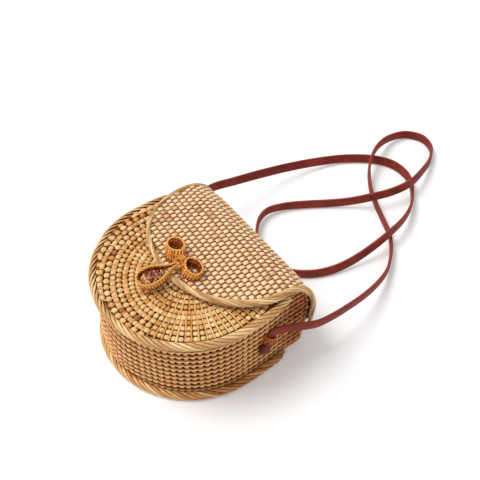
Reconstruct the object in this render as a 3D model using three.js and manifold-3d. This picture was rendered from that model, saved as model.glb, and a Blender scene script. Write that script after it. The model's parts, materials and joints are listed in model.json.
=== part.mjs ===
// Half-moon woven rattan crossbody bag, lying on its back: millimetres, +Z up.
// +X is along the flap's hinge line, +Y goes from the round bottom to the mouth.
import * as THREE from 'three';
import ManifoldModule from 'manifold-3d';

const wasm = await ManifoldModule();
wasm.setup();

// Body sizes
const halfWidth = 84;
const sideLength = 73;
const sideTaper = 10;
const bagDepth = 90;
const rimRadius = 5.75;
const weave = 3.6;
const lining = 0.7;
const wallInset = 3;
const backRimEnd = 52;
const mouthRimRadius = 3;
const rimTaper = 2;
const rimDip = 2.2;
const endY = 80.8;

// Ridges of the weave: across the flap, and upright on the wall
const ridgeDepth = 1.3;
const ridgeFlat = 1.5;
const flapRidge = 5.85;
const wallRidge = 6.07;

// Flap sizes
const flapSide = 4.8;
const flapRimRadius = 4;
const flapArc = 70;
const flapRimGap = 2.4;
const hingeShare = 0.26;
const caneRadius = 2.2;
const lashRadius = 0.9;
const lashInset = 24;
const lashCount = 5;

// Bow, closure loop and button sizes
const bowY = -2.8;
const bandThick = 1.9;
const bowHeight = 8.6;
const bowEndHeight = 6;
const bowHalfLength = 9.4;
const bowHalfWidth = 7.4;
const knotHalf = 4.85;
const knotBack = 4.2;
const lugThick = 1.8;
const loopX = 4.6;
const loopSkew = 9;
const loopSlope = 12;
const loopLength = 37.5;
const loopHeight = 8;
const neckHeight = 4.6;
const loopNeck = 2.4;
const pinRadius = 1;
const buttonHalf = [8.1, 8.8, 5];
const buttonGap = 3.4;
const shankHeight = 1.2;
const shankRadius = 3;

// Strap sizes
const strapWidth = 10;
const strapThick = 3;
const ringY = 33;
const ringShare = 0.445;
const ringTilt = 52;
const ringBand = 7;
const ringThick = 2.2;
const stopLength = 11;
const stopWidth = 12.5;
const stopHeight = 5.4;

// Clearances
const fit = 0.3;
const slack = 0.4;

// Heights and places that follow from the sizes
const flat = Math.cos(Math.PI / 12);
const backRimZ = rimRadius * flat;
const frontRimZ = bagDepth - rimRadius * flat;
const panelInset = rimRadius + fit;
const flapHalf = halfWidth - flapSide;
const lashSpacing = (2 * (halfWidth - lashInset)) / (lashCount - 1);
const panelTop = frontRimZ + weave / 2;
const flapZ = panelTop + flapRimGap + flapRimRadius;
const flapTop = flapZ + weave / 2;
const hingeZ = hingeShare * flapZ;
const earGap = weave / 2 + fit + lining + 2 * fit;
const frontRimEnd = endY - 26.8;
const mouthRimY = frontRimEnd - mouthRimRadius;
const flapArcY = endY - 30.8;
const ringZ = ringShare * bagDepth;
const loopHalfWidth = buttonHalf[0] + bandThick + 0.4;
const shiftY = (halfWidth + rimRadius - endY - flapRimRadius) / 2;

// Materials
const colours = {
  straw: 0xd9b478,
  honey: 0xc9985a,
  brown: 0xa97444,
  orange: 0xc0812f,
  dark: 0x6b4438,
  navy: 0x1a2036,
  leather: 0x7a372d,
};
const materials = {};
for (const [name, color] of Object.entries(colours)) {
  materials[name] = new THREE.MeshStandardMaterial({ name, color, roughness: 0.7 });
}

const root = new THREE.Group();
root.name = 'rattan_crossbody_bag';

function add(name, geometry, material) {
  const mesh = new THREE.Mesh(geometry, materials[material]);
  mesh.name = name;
  root.add(mesh);
  return mesh;
}

function vec(x, y, z) {
  return new THREE.Vector3(x, y, z);
}

// A closed body through rings of equal point count, each ring turning the same way round.
function loft(rings, closed = false) {
  const n = rings[0].length;
  const position = rings.flat().flatMap((p) => [p.x, p.y, p.z]);
  const index = [];
  const count = closed ? rings.length : rings.length - 1;
  for (let i = 0; i < count; i += 1) {
    const a = i * n;
    const b = ((i + 1) % rings.length) * n;
    for (let j = 0; j < n; j += 1) {
      const k = (j + 1) % n;
      index.push(a + j, a + k, b + k, a + j, b + k, b + j);
    }
  }
  if (!closed) {
    const last = (rings.length - 1) * n;
    for (let j = 1; j < n - 1; j += 1) {
      index.push(0, j + 1, j);
      index.push(last, last + j, last + j + 1);
    }
  }
  const geometry = new THREE.BufferGeometry();
  geometry.setAttribute('position', new THREE.Float32BufferAttribute(position, 3));
  geometry.setIndex(index);
  if (volume(geometry) < 0) {
    for (let i = 0; i < index.length; i += 3) {
      [index[i], index[i + 1]] = [index[i + 1], index[i]];
    }
    geometry.setIndex(index);
  }
  geometry.computeVertexNormals();
  return geometry;
}

function volume(geometry) {
  const p = geometry.attributes.position;
  const at = geometry.index.array;
  const a = new THREE.Vector3();
  const b = new THREE.Vector3();
  const c = new THREE.Vector3();
  let sum = 0;
  for (let i = 0; i < at.length; i += 3) {
    a.fromBufferAttribute(p, at[i]);
    b.fromBufferAttribute(p, at[i + 1]);
    c.fromBufferAttribute(p, at[i + 2]);
    sum += a.dot(b.cross(c));
  }
  return sum / 6;
}

function toManifold(geometry) {
  const seen = new Map();
  const points = [];
  const p = geometry.attributes.position;
  const remap = [];
  for (let i = 0; i < p.count; i += 1) {
    const key = [p.getX(i), p.getY(i), p.getZ(i)].map((v) => Math.round(v * 1e4)).join();
    if (!seen.has(key)) {
      seen.set(key, points.length / 3);
      points.push(p.getX(i), p.getY(i), p.getZ(i));
    }
    remap.push(seen.get(key));
  }
  const source = geometry.index ? Array.from(geometry.index.array) : remap.map((_, i) => i);
  const triangles = [];
  for (let i = 0; i < source.length; i += 3) {
    const t = [remap[source[i]], remap[source[i + 1]], remap[source[i + 2]]];
    if (t[0] !== t[1] && t[1] !== t[2] && t[2] !== t[0]) {
      triangles.push(...t);
    }
  }
  const mesh = new wasm.Mesh({
    numProp: 3,
    vertProperties: new Float32Array(points),
    triVerts: new Uint32Array(triangles),
  });
  return new wasm.Manifold(mesh);
}

function fromManifold(body) {
  const mesh = body.getMesh();
  const geometry = new THREE.BufferGeometry();
  geometry.setAttribute('position', new THREE.Float32BufferAttribute(mesh.vertProperties, 3));
  geometry.setIndex(Array.from(mesh.triVerts));
  geometry.computeVertexNormals();
  return geometry;
}

function cut(geometry, tools) {
  let body = toManifold(geometry);
  for (const tool of tools) {
    body = body.subtract(toManifold(tool));
  }
  return fromManifold(body);
}

// Half the width of the bag's outline at a height y above its round bottom's centre
function sideX(y, inset) {
  return halfWidth - inset - sideTaper * (Math.max(y, 0) / sideLength) ** 2;
}

// Points of the U-shaped outline with their outward directions, from the right end to the left
function outline(inset, ends, arcSteps = 28) {
  const right = ends.map((y) => {
    const slope = (2 * sideTaper * y) / sideLength ** 2;
    const out = vec(1, slope, 0).normalize();
    return { p: vec(sideX(y, inset), y, 0), out };
  });
  const arc = [];
  for (let i = 0; i <= arcSteps; i += 1) {
    const t = (-Math.PI * i) / arcSteps;
    const out = vec(Math.cos(t), Math.sin(t), 0);
    arc.push({ p: out.clone().multiplyScalar(halfWidth - inset), out });
  }
  const left = right.map(({ p, out }) => ({ p: vec(-p.x, p.y, 0), out: vec(-out.x, out.y, 0) }));
  return [...right, ...arc, ...left.reverse()];
}

// Heights on the way from the mouth end down to the widest place, largest first
function steps(from, count) {
  return Array.from({ length: count }, (_, i) => from * (1 - i / count));
}

// A round section of so many sides with a flat side at its bottom
function roundRing(centre, across, up, radius, sides) {
  return Array.from({ length: sides }, (_, i) => {
    const t = (2 * Math.PI * (i + 0.5)) / sides;
    return centre.clone()
      .addScaledVector(across, radius * Math.sin(t))
      .addScaledVector(up, -radius * Math.cos(t));
  });
}

function boxRing(centre, across, up, wide, high) {
  return [[-1, -1], [1, -1], [1, 1], [-1, 1]].map(([a, b]) =>
    centre.clone().addScaledVector(across, (a * wide) / 2).addScaledVector(up, (b * high) / 2));
}

const upward = vec(0, 0, 1);
const sideways = vec(1, 0, 0);

// How far a weave's outer face stands off its middle, with a ridge at each whole step along it
function ridge(far, step) {
  const away = Math.abs(far - step * Math.round(far / step));
  const fall = Math.max(0, away - ridgeFlat) / (step / 2 - ridgeFlat);
  return weave / 2 - ridgeDepth * fall;
}

// Places between two ends where the ridges' slope changes, apart from those next to fixed places
function ridgePlaces(low, high, step, fixed) {
  const places = [...fixed];
  for (let i = Math.floor(low / step); i <= high / step + 1; i += 1) {
    for (const d of [-ridgeFlat, ridgeFlat, step / 2]) {
      const far = step * i + d;
      if (far > low && far < high && fixed.every((f) => Math.abs(f - far) > 0.5)) {
        places.push(far);
      }
    }
  }
  return places.sort((a, b) => a - b);
}

// A section of a ridged weave, from its flat inner face to its outer face
function weaveRing(p, out, along, outer, size) {
  const middle = p.clone().addScaledVector(out, (outer - weave / 2) / 2);
  return boxRing(middle, along, out, size, outer + weave / 2);
}

// How far the front rim has thinned and dipped under the flap, from 0 to 1
function dip(y) {
  return THREE.MathUtils.smoothstep(y, 20, frontRimEnd - 4);
}

function frontRadius(y) {
  return rimRadius - rimTaper * dip(y);
}

function frontZ(y) {
  return frontRimZ - rimDip * dip(y);
}

// The line of the flap's middle surface, from the hinge up and over to the front edge
const flapLine = new THREE.CatmullRomCurve3([
  [-0.8, hingeShare],
  [-0.35, 0.32],
  [0, 0.433],
  [-0.8, 0.57],
  [-3.4, 0.686],
  [-8.4, 0.801],
  [-14.4, 0.893],
  [-22.3, 0.959],
  [-29.8, 0.991],
  [-36.8, 1],
  [-44, 1],
].map(([y, z]) => vec(0, endY + y, z * flapZ)), false, 'centripetal');

const hinge = vec(0, endY - 0.8, hingeZ);

// Places along a line in the mouth's side view, with the outward direction at each
function profile(curve, count) {
  return Array.from({ length: count + 1 }, (_, i) => {
    const p = curve.getPointAt(i / count);
    const t = curve.getTangentAt(i / count);
    return { p, out: vec(0, t.z, -t.y).normalize() };
  });
}

const flapProfile = profile(flapLine, 22);
const flapStart = caneRadius + fit + 2 * lashRadius + fit;

function flapWidth(y, inset) {
  const t = (flapArcY - y) / (flapArc - inset);
  return t <= 0 ? flapHalf - inset : (flapHalf - inset) * Math.sqrt(Math.max(0, 1 - t * t));
}

// Rows of the flap, ruled straight across, from the hinge to the front edge
function flapRows(inset, start) {
  const rows = flapProfile.filter(({ p }) => p.distanceTo(hinge) > start && p.y > flapArcY - 10);
  const away = rows[0].p.clone().sub(hinge).normalize();
  const begin = hinge.clone().addScaledVector(away, start);
  const all = [{ p: begin, out: rows[0].out }, ...rows];
  const depth = flapArc - inset;
  for (let i = 4; i <= 20; i += 1) {
    const y = flapArcY - depth * Math.sin((i / 20) * (Math.PI / 2) * 0.97);
    if (y < all[all.length - 1].p.y - 1) {
      all.push({ p: vec(0, y, flapZ), out: vec(0, 0, 1) });
    }
  }
  return all;
}

function flapSheet(inset, start, low, high) {
  return loft(flapRows(inset, start).map(({ p, out }) => {
    const wide = 2 * flapWidth(p.y, inset);
    const middle = p.clone().addScaledVector(out, (low + high) / 2);
    return boxRing(middle, sideways, out, wide, high - low);
  }));
}

// The wall's ends are rounded to lie just inside the flap.
const earEndY = endY - earGap - 0.2;

function earCurve(y, sign) {
  const middle = 0.43 * flapZ;
  const drop = Math.max(0, earEndY - y);
  const spread = flapZ * (sign > 0 ? 0.119 : -0.216);
  return middle + spread * Math.sqrt(drop);
}

function wallTop(y) {
  return Math.min(frontZ(y) - frontRadius(y) - fit, earCurve(y, 1));
}

function wallBottom(y) {
  const clear = y > backRimEnd + 1 ? 1 : backRimZ + rimRadius + fit;
  return Math.max(clear, earCurve(y, -1));
}

// A place on the wall at a distance along it from the middle of the bottom, right or left
const wallRadius = halfWidth - wallInset;
const quarter = (wallRadius * Math.PI) / 2;
const bend = (2 * sideTaper) / sideLength ** 2;
function wallAt(far) {
  const rest = Math.abs(far) - quarter;
  if (rest <= 0) {
    const out = vec(Math.sin(far / wallRadius), -Math.cos(far / wallRadius), 0);
    return { p: out.clone().multiplyScalar(wallRadius), out };
  }
  const side = Math.sign(far);
  const y = rest - (bend ** 2 * rest ** 3) / 6;
  return { p: vec(side * sideX(y, wallInset), y, 0), out: vec(side, bend * y, 0).normalize() };
}

const wallEnds = [0.25, 0.8, 1.8, 3.2, 5, 7.2, 9.8, 12.8, 16].map((d) => earEndY - d);
wallEnds.push(backRimEnd + 1.5, backRimEnd + 0.6);
const wallFixed = wallEnds.map((y) => quarter + y + (bend ** 2 * y ** 3) / 6);
const bothEnds = [...wallFixed, ...wallFixed.map((far) => -far)];
const wallPlaces = ridgePlaces(-wallFixed[0], wallFixed[0], wallRidge, bothEnds);
add('gusset_wall', loft(wallPlaces.map((far) => {
  const { p, out } = wallAt(far);
  const top = wallTop(p.y);
  const bottom = wallBottom(p.y);
  p.setZ((top + bottom) / 2);
  return weaveRing(p, out, upward, ridge(far, wallRidge), top - bottom);
})), 'brown');

// Rims
const rimSides = 12;
add('front_rim', loft(outline(0, steps(frontRimEnd, 10)).map(({ p, out }) => {
  const centre = p.clone().setZ(frontZ(p.y));
  return roundRing(centre, out, upward, frontRadius(p.y), rimSides);
})), 'honey');
add('back_rim', loft(outline(0, steps(backRimEnd, 7)).map(({ p, out }) => {
  const centre = p.clone().setZ(backRimZ);
  return roundRing(centre, out, upward, rimRadius, rimSides);
})), 'honey');

// Flat panels, as rows ruled straight across
function panelRows(inset, endRow) {
  const rows = [];
  for (let i = 1; i <= 16; i += 1) {
    const t = (i / 16) * (Math.PI / 2);
    const r = halfWidth - inset;
    rows.push({ y: -r * Math.cos(t), w: r * Math.sin(t) });
  }
  for (let i = 1; i <= 6; i += 1) {
    const y = (endRow * i) / 6;
    rows.push({ y, w: sideX(y, inset) });
  }
  return rows;
}

const frontEnd = mouthRimY - mouthRimRadius - fit;
add('front_panel', loft(panelRows(panelInset, frontEnd).map(({ y, w }) =>
  boxRing(vec(0, y, frontRimZ), sideways, upward, 2 * w, weave))), 'straw');
const mouthHalf = sideX(mouthRimY, frontRadius(mouthRimY) + fit) - 0.4;
add('mouth_rim', loft([-mouthHalf, mouthHalf].map((x) => {
  const centre = vec(x, mouthRimY, frontRimZ - rimDip / 2);
  return roundRing(centre, vec(0, 1, 0), upward, mouthRimRadius, 10);
})), 'honey');

// The back panel turns up at the mouth as a lip that carries the hinge cane.
const lipTurn = 9;
const lipY = hinge.y - 0.2;
const lipEnd = hingeZ - caneRadius - fit;
const lipRows = [];
for (let i = 1; i <= 5; i += 1) {
  const t = (i / 5) * (Math.PI / 2);
  const centre = vec(0, lipY - lipTurn, backRimZ + lipTurn);
  const out = vec(0, Math.sin(t), -Math.cos(t));
  lipRows.push({ p: centre.addScaledVector(out, lipTurn), out });
}
lipRows.push({ p: vec(0, lipY, lipEnd), out: vec(0, 1, 0) });
const backEnd = lipY - lipTurn;
const lipHalf = sideX(earEndY, wallInset + weave / 2 + fit);
const backRows = panelRows(panelInset, backRimEnd).map(({ y, w }) =>
  boxRing(vec(0, y, backRimZ), sideways, vec(0, 0, -1), 2 * w, weave));
for (const y of [backRimEnd + 0.3, backEnd]) {
  backRows.push(boxRing(vec(0, y, backRimZ), sideways, vec(0, 0, -1), 2 * lipHalf, weave));
}
for (const { p, out } of lipRows) {
  backRows.push(boxRing(p, sideways, out, 2 * lipHalf, weave));
}
const lashX = Array.from({ length: lashCount }, (_, i) => (i - (lashCount - 1) / 2) * lashSpacing);
const notchDepth = 2 * lashRadius + 2 * fit;
const notches = lashX.map((x) => {
  const notch = new THREE.BoxGeometry(2 * lashRadius + 2 * slack, 2 * weave, 2 * notchDepth);
  return notch.translate(x, lipY, lipEnd);
});
add('back_panel', cut(loft(backRows), notches), 'straw');

// Lining inside the body, open at the mouth
const liningInset = wallInset + weave / 2 + 1.3;
const liningLow = backRimZ + weave / 2 + fit;
const liningHigh = frontRimZ - weave / 2 - fit;
const liningEnd = frontEnd - 0.8;
function liningSolid(inset, low, high, end) {
  const rows = panelRows(inset, liningEnd);
  rows.push({ y: end, w: sideX(end, inset) });
  return loft(rows.map(({ y, w }) =>
    boxRing(vec(0, y, (low + high) / 2), sideways, upward, 2 * w, high - low)));
}
const liningShell = liningSolid(liningInset, liningLow, liningHigh, liningEnd + 0.5);
const coreInset = liningInset + lining;
const liningCore = liningSolid(coreInset, liningLow + lining, liningHigh - lining, liningEnd + 9);
add('body_lining', cut(liningShell, [liningCore]), 'navy');

// Hinge: a cane on the lip, and lashings of the flap that turn on it
const caneHalf = flapHalf - flapRimRadius - fit - 1;
add('hinge_cane', loft([-caneHalf, caneHalf].map((x) =>
  roundRing(vec(x, hinge.y, hinge.z), vec(0, 1, 0), upward, caneRadius, 12))), 'honey');

// Flap
const flapInset = flapRimRadius + fit;
const flapBend = flapLine.getLength();
function flapAt(far) {
  const share = Math.min(1, far / flapBend);
  const p = flapLine.getPointAt(share);
  const t = flapLine.getTangentAt(share);
  p.y -= Math.max(0, far - flapBend);
  return { p, out: vec(0, t.z, -t.y).normalize() };
}

const panelEdge = flapInset + 0.15;
const tipFars = [0.8, 0.85, 0.9, 0.95, 1].map((share) => {
  const y = flapArcY - (flapArc - panelEdge) * Math.sin(share * 0.97 * (Math.PI / 2));
  return flapBend + flapLine.points[flapLine.points.length - 1].y - y;
});
const firstRidge = flapStart + 1.6;
const flapFixed = [flapStart, ...tipFars].map((far) => far - firstRidge);
const flapPlaces = ridgePlaces(flapFixed[0], flapFixed[flapFixed.length - 1], flapRidge, flapFixed);
add('flap_panel', loft(flapPlaces.map((far) => {
  const { p, out } = flapAt(far + firstRidge);
  return weaveRing(p, out, sideways, ridge(far, flapRidge), 2 * flapWidth(p.y, panelEdge));
})), 'straw');
const flapUnder = -weave / 2 - fit;
add('flap_lining', flapSheet(flapInset + 0.2, flapStart + 2, flapUnder - lining, flapUnder), 'navy');
const rimRight = flapRows(0, flapStart).map(({ p, out }) => ({ p: vec(flapWidth(p.y, 0), p.y, p.z), out }));
const rimPath = [...rimRight, ...rimRight.map(({ p, out }) => ({ p: vec(-p.x, p.y, p.z), out })).reverse()];
add('flap_rim', loft(rimPath.map(({ p, out }, i) => {
  const before = rimPath[Math.max(0, i - 1)].p;
  const after = rimPath[Math.min(rimPath.length - 1, i + 1)].p;
  const along = after.clone().sub(before).normalize();
  const across = along.clone().cross(out).normalize();
  const up = across.clone().cross(along);
  const end = Math.min(i, rimPath.length - 1 - i);
  const radius = flapRimRadius * Math.min(1, 0.7 + 0.1 * end);
  return roundRing(p, across, up, radius, 10);
})), 'honey');
lashX.forEach((x, i) => {
  const ring = new THREE.TorusGeometry(caneRadius + fit + lashRadius, lashRadius, 8, 18);
  ring.rotateY(Math.PI / 2).translate(x, hinge.y, hinge.z);
  add(`hinge_lashing_${i + 1}`, ring, 'brown');
});

// A band standing on edge round a closed line, with its height at each point
function bandLoop(points, up, thick, heights) {
  const n = points.length;
  return loft(points.map((p, i) => {
    const along = points[(i + 1) % n].clone().sub(points[(i + n - 1) % n]).normalize();
    return boxRing(p, along.clone().cross(up).normalize(), up, thick, heights[i]);
  }), true);
}

// Bow: the loops droop away from the knot
const bowLow = flapTop + fit;
const bowStart = knotHalf + fit + bandThick / 2;
function bowWide(t) {
  return bowHalfWidth * Math.sin(t) * (0.8 + 0.2 * Math.sin(t / 2));
}
for (const [name, side] of [['bow_loop_left', -1], ['bow_loop_right', 1]]) {
  const points = [];
  const heights = [];
  for (let i = 0; i < 28; i += 1) {
    const t = (2 * Math.PI * i) / 28;
    const share = (1 - Math.cos(t)) / 2;
    const high = THREE.MathUtils.lerp(bowHeight, bowEndHeight, share);
    points.push(vec(side * (bowStart + 2 * bowHalfLength * share), bowY + bowWide(t), bowLow + high / 2));
    heights.push(high);
  }
  add(name, bandLoop(points, upward, bandThick, heights), 'orange');
}

// Closure loop on a pin between two lugs of the knot, which stand clear of the bow's right loop
const lugInner = loopNeck + 2 * slack;
const lugOuter = lugInner + lugThick;
const lugTurn = Math.acos(1 - (loopX + lugOuter - bowStart) / bowHalfLength);
const lugBack = bowY - bowWide(lugTurn) - bandThick / 2 - 2 * fit;
const knotFront = lugBack - 0.8;
const pivotY = knotFront - Math.hypot(loopNeck + 0.2, neckHeight / 2) - slack;
const slope = THREE.MathUtils.degToRad(loopSlope);
const skew = Math.tan(THREE.MathUtils.degToRad(loopSkew));
const loopOut = vec(-skew, -Math.cos(slope), -Math.sin(slope));
const loopUp = vec(0, -Math.sin(slope), Math.cos(slope));
function loopHalf(v) {
  const neck = loopNeck - bandThick / 2;
  const body = loopHalfWidth - bandThick / 2;
  return neck + (body - neck) * THREE.MathUtils.smoothstep(v, 1, 0.62 * loopLength);
}
function loopHigh(v) {
  return neckHeight + (loopHeight - neckHeight) * THREE.MathUtils.smoothstep(v, 2, 22);
}
const rimAway = pivotY - flapArcY + flapArc;
const pivotZ = flapZ + flapRimRadius + fit + loopHigh(rimAway) / 2 + rimAway * Math.tan(slope);
const loopSide = [];
const roundEnd = loopLength - loopHalfWidth;
for (let i = 0; i <= 9; i += 1) {
  const v = (roundEnd * i) / 9;
  loopSide.push([loopHalf(v), v]);
}
for (let i = 1; i <= 6; i += 1) {
  const t = (i / 6) * (Math.PI / 2);
  const r = loopHalf(roundEnd);
  loopSide.push([r * Math.cos(t), roundEnd + (loopHalfWidth - bandThick / 2) * Math.sin(t)]);
}
const neckEnd = -loopNeck - 0.2 + bandThick / 2;
const loopFlat = [[0, neckEnd], [0.75 * loopHalf(0), 0.75 * neckEnd], ...loopSide];
const loopRound = [...loopFlat, ...loopFlat.slice(1, -1).map(([x, v]) => [-x, v]).reverse()];
const loopPoints = loopRound.map(([x, v]) => vec(loopX + x, pivotY, pivotZ).addScaledVector(loopOut, v));
const loopHeights = loopRound.map(([, v]) => loopHigh(v));
function rodX(radius, half, sides) {
  return loft([-half, half].map((x) =>
    roundRing(vec(loopX + x, pivotY, pivotZ), vec(0, 1, 0), upward, radius, sides)));
}
const pinHole = rodX(pinRadius + fit, lugOuter + 3, 16);
add('closure_loop', cut(bandLoop(loopPoints, loopUp, bandThick, loopHeights), [pinHole]), 'orange');
const knotTop = pivotZ + pinRadius + fit + 0.9;
const lugEnd = pivotY - pinRadius - fit - 0.4;
const knotShape = new THREE.Shape();
knotShape.moveTo(-knotHalf, bowY + knotBack - 1.5);
knotShape.lineTo(-knotHalf + 1.5, bowY + knotBack);
knotShape.lineTo(knotHalf - 1.5, bowY + knotBack);
knotShape.lineTo(knotHalf, bowY + knotBack - 1.5);
knotShape.lineTo(knotHalf, lugBack + 1.5);
knotShape.lineTo(loopX + lugOuter, lugBack);
knotShape.lineTo(loopX + lugOuter, lugEnd);
knotShape.lineTo(loopX + lugInner, lugEnd);
knotShape.lineTo(loopX + lugInner, knotFront);
knotShape.lineTo(loopX - lugInner, knotFront);
knotShape.lineTo(loopX - lugInner, lugEnd);
knotShape.lineTo(loopX - lugOuter, lugEnd);
knotShape.lineTo(loopX - lugOuter, knotFront);
knotShape.lineTo(-knotHalf + 1.5, knotFront);
knotShape.lineTo(-knotHalf, knotFront + 1.5);
const knot = new THREE.ExtrudeGeometry(knotShape, { depth: knotTop - bowLow, bevelEnabled: false });
knot.translate(0, 0, bowLow);
add('bow_knot', cut(knot, [pinHole]), 'orange');
add('loop_pin', rodX(pinRadius, lugOuter - fit, 12), 'honey');

// Button, as far inside the loop's round end as the loop needs to lift off over it
const buttonAway = loopLength - bandThick - buttonGap - buttonHalf[1];
const buttonX = loopX - skew * buttonAway;
const buttonY = pivotY - buttonAway * Math.cos(slope);
const shankLow = panelTop + fit;
const shank = new THREE.CylinderGeometry(shankRadius, shankRadius, shankHeight, 16);
shank.rotateX(Math.PI / 2).translate(buttonX, buttonY, shankLow + shankHeight / 2);
add('button_shank', shank, 'dark');
const buttonLow = shankLow + shankHeight + fit;
const ballRings = [];
for (let i = 0; i <= 10; i += 1) {
  const t = 0.45 + ((Math.PI - 0.6) * i) / 10;
  const r = Math.sin(t) ** 0.85;
  const z = buttonLow + buttonHalf[2] * (Math.cos(0.45) - Math.cos(t));
  ballRings.push(Array.from({ length: 20 }, (_, j) => {
    const s = (2 * Math.PI * j) / 20;
    const y = buttonHalf[1] * r * Math.sin(s);
    return vec(buttonX + buttonHalf[0] * r * Math.cos(s) + skew * y, buttonY + y, z);
  }));
}
add('button_ball', loft(ballRings), 'dark');

// Strap rings on both sides of the wall, with the strap's stops
const tilt = THREE.MathUtils.degToRad(ringTilt);
function ringFrame(side) {
  const slopeOut = (2 * sideTaper * ringY) / sideLength ** 2;
  const out = vec(side, slopeOut, 0).normalize();
  const level = vec(-side * slopeOut, 1, 0).normalize();
  const along = level.clone().multiplyScalar(Math.cos(tilt)).addScaledVector(upward, Math.sin(tilt));
  const across = level.clone().multiplyScalar(-Math.sin(tilt)).addScaledVector(upward, Math.cos(tilt));
  const surface = vec(side * sideX(ringY, wallInset), ringY, ringZ).addScaledVector(out, weave / 2);
  return { out, along, across, surface };
}

function place(frame, along, across, out) {
  return frame.surface.clone()
    .addScaledVector(frame.along, along)
    .addScaledVector(frame.across, across)
    .addScaledVector(frame.out, out);
}

const archHalf = strapWidth / 2 + slack + ringThick / 2;
const archHigh = strapThick + 2 * slack + 0.4 + ringThick / 2;
const sides = { right: ringFrame(1), left: ringFrame(-1) };
for (const [name, frame] of Object.entries(sides)) {
  const arch = [[-archHalf, fit], [-archHalf, archHigh - 2.2], [-archHalf + 0.7, archHigh - 0.7],
    [-archHalf + 2.2, archHigh], [archHalf - 2.2, archHigh], [archHalf - 0.7, archHigh - 0.7],
    [archHalf, archHigh - 2.2], [archHalf, fit]];
  const middle = arch.map(([e, n]) => place(frame, 0, e, n));
  add(`strap_ring_${name}`, loft(middle.map((p, i) => {
    const before = middle[Math.max(0, i - 1)];
    const after = middle[Math.min(middle.length - 1, i + 1)];
    const across = after.clone().sub(before).cross(frame.along).normalize();
    return boxRing(p, frame.along, across, ringBand, ringThick);
  })), 'orange');
  const stopStart = -ringBand / 2 - slack - stopLength;
  const stopRings = [[0, 0.72], [0.12, 0.92], [0.3, 1], [0.8, 1], [1, 0.86]].map(([t, k]) => {
    const centre = place(frame, stopStart + t * stopLength, 0, slack + stopHeight / 2);
    return boxRing(centre, frame.across, frame.out, stopWidth * k, stopHeight);
  });
  add(`strap_stop_${name}`, loft(stopRings), 'leather');
}

// Strap: its hand-chosen way over the floor, each point with how far it leans over, in degrees
const strapWay = [
  [-88.5, 49, 52, 0],
  [-97, 66, 48, 0],
  [-105, 82, 43, -5],
  [-109.8, 98, 38, -10],
  [-110, 123, 32, -15],
  [-110, 157, 24, -22],
  [-108, 197, 15, -25],
  [-101.3, 235, 8.5, -25],
  [-90.8, 263.7, 5.8, -25],
  [-73, 288.5, 5.6, -25],
  [-53.4, 302.5, 5.6, -22],
  [-33, 304.5, 5.6, -15],
  [-16.9, 298.6, 5.6, -5],
  [-1.5, 286.5, 5.9, 0],
  [12.5, 270, 9.5, 0],
  [24.5, 247.5, 14.5, 5],
  [31.5, 224, 17, 10],
  [34.5, 199, 14, 15],
  [33.6, 170, 8, 18],
  [29.7, 146, 6, 18],
  [21, 126, 5.6, 12],
  [7, 110, 5.6, 4],
  [-13, 100, 5.6, 0],
  [-36, 102.5, 5.6, 0],
  [-55, 114.5, 6.5, 0],
  [-67.5, 127, 7.5, 0],
  [-72.5, 141, 7.5, -2],
  [-69, 159, 6.6, -6],
  [-60, 179, 5.8, -10],
  [-45, 204.5, 6, -10],
  [-32.5, 223, 9, -10],
  [-19.5, 241.5, 16, -12],
  [-12.5, 264, 17, -15],
  [-10.8, 288.5, 17.6, -15],
  [-20.3, 317, 13.2, -10],
  [-34, 343, 7, -5],
  [-49.5, 358.5, 5.6, 0],
  [-67, 361, 5.6, 8],
  [-82.5, 349.5, 5.8, 10],
  [-86.5, 328, 8.5, 5],
  [-78.5, 301.5, 15, 0],
  [-66, 281, 17, 0],
  [-55.5, 269, 13, 0],
  [-43.5, 260.5, 7.5, 0],
  [-31.5, 253.5, 5.6, 0],
  [-15.5, 246, 5.4, 0],
  [7, 237, 5.4, 0],
  [25, 229.5, 5.4, 0],
  [40.5, 219, 5.6, 0],
  [53.5, 206, 6.6, 0],
  [65, 190.5, 9.5, 0],
  [76, 166.5, 17, 0],
  [83.8, 142, 25, 0],
  [89.5, 115.5, 33, 0],
  [92.5, 93.5, 38.5, 0],
  [93.2, 78, 42.5, 0],
  [91.5, 63.6, 48, 0],
  [88, 50.5, 51.5, 0],
];

const strapStart = -ringBand / 2 - slack + fit;
const strapOut = slack + strapThick / 2;
const ends = (frame) => [strapStart, 3, 9].map((d) => place(frame, d, 0, strapOut + (d > 5 ? 0.6 : 0)));
const strapPoints = [
  ...ends(sides.left),
  ...strapWay.map(([x, y, z]) => vec(x, y, z)),
  ...ends(sides.right).reverse(),
];
const strapLean = [0, 0, 0, ...strapWay.map((row) => row[3]), 0, 0, 0];
const strapLine = new THREE.CatmullRomCurve3(strapPoints, false, 'centripetal');
// A flat section with rounded corners
function strapRing(centre, wide, thick) {
  const a = strapWidth / 2;
  const b = strapThick / 2;
  const c = 0.9;
  const half = [[-a + c, -b], [a - c, -b], [a, -b + c], [a, b - c]];
  const section = [...half, ...half.map(([u, v]) => [-u, -v])];
  return section.map(([u, v]) => centre.clone().addScaledVector(wide, u).addScaledVector(thick, v));
}

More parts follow.
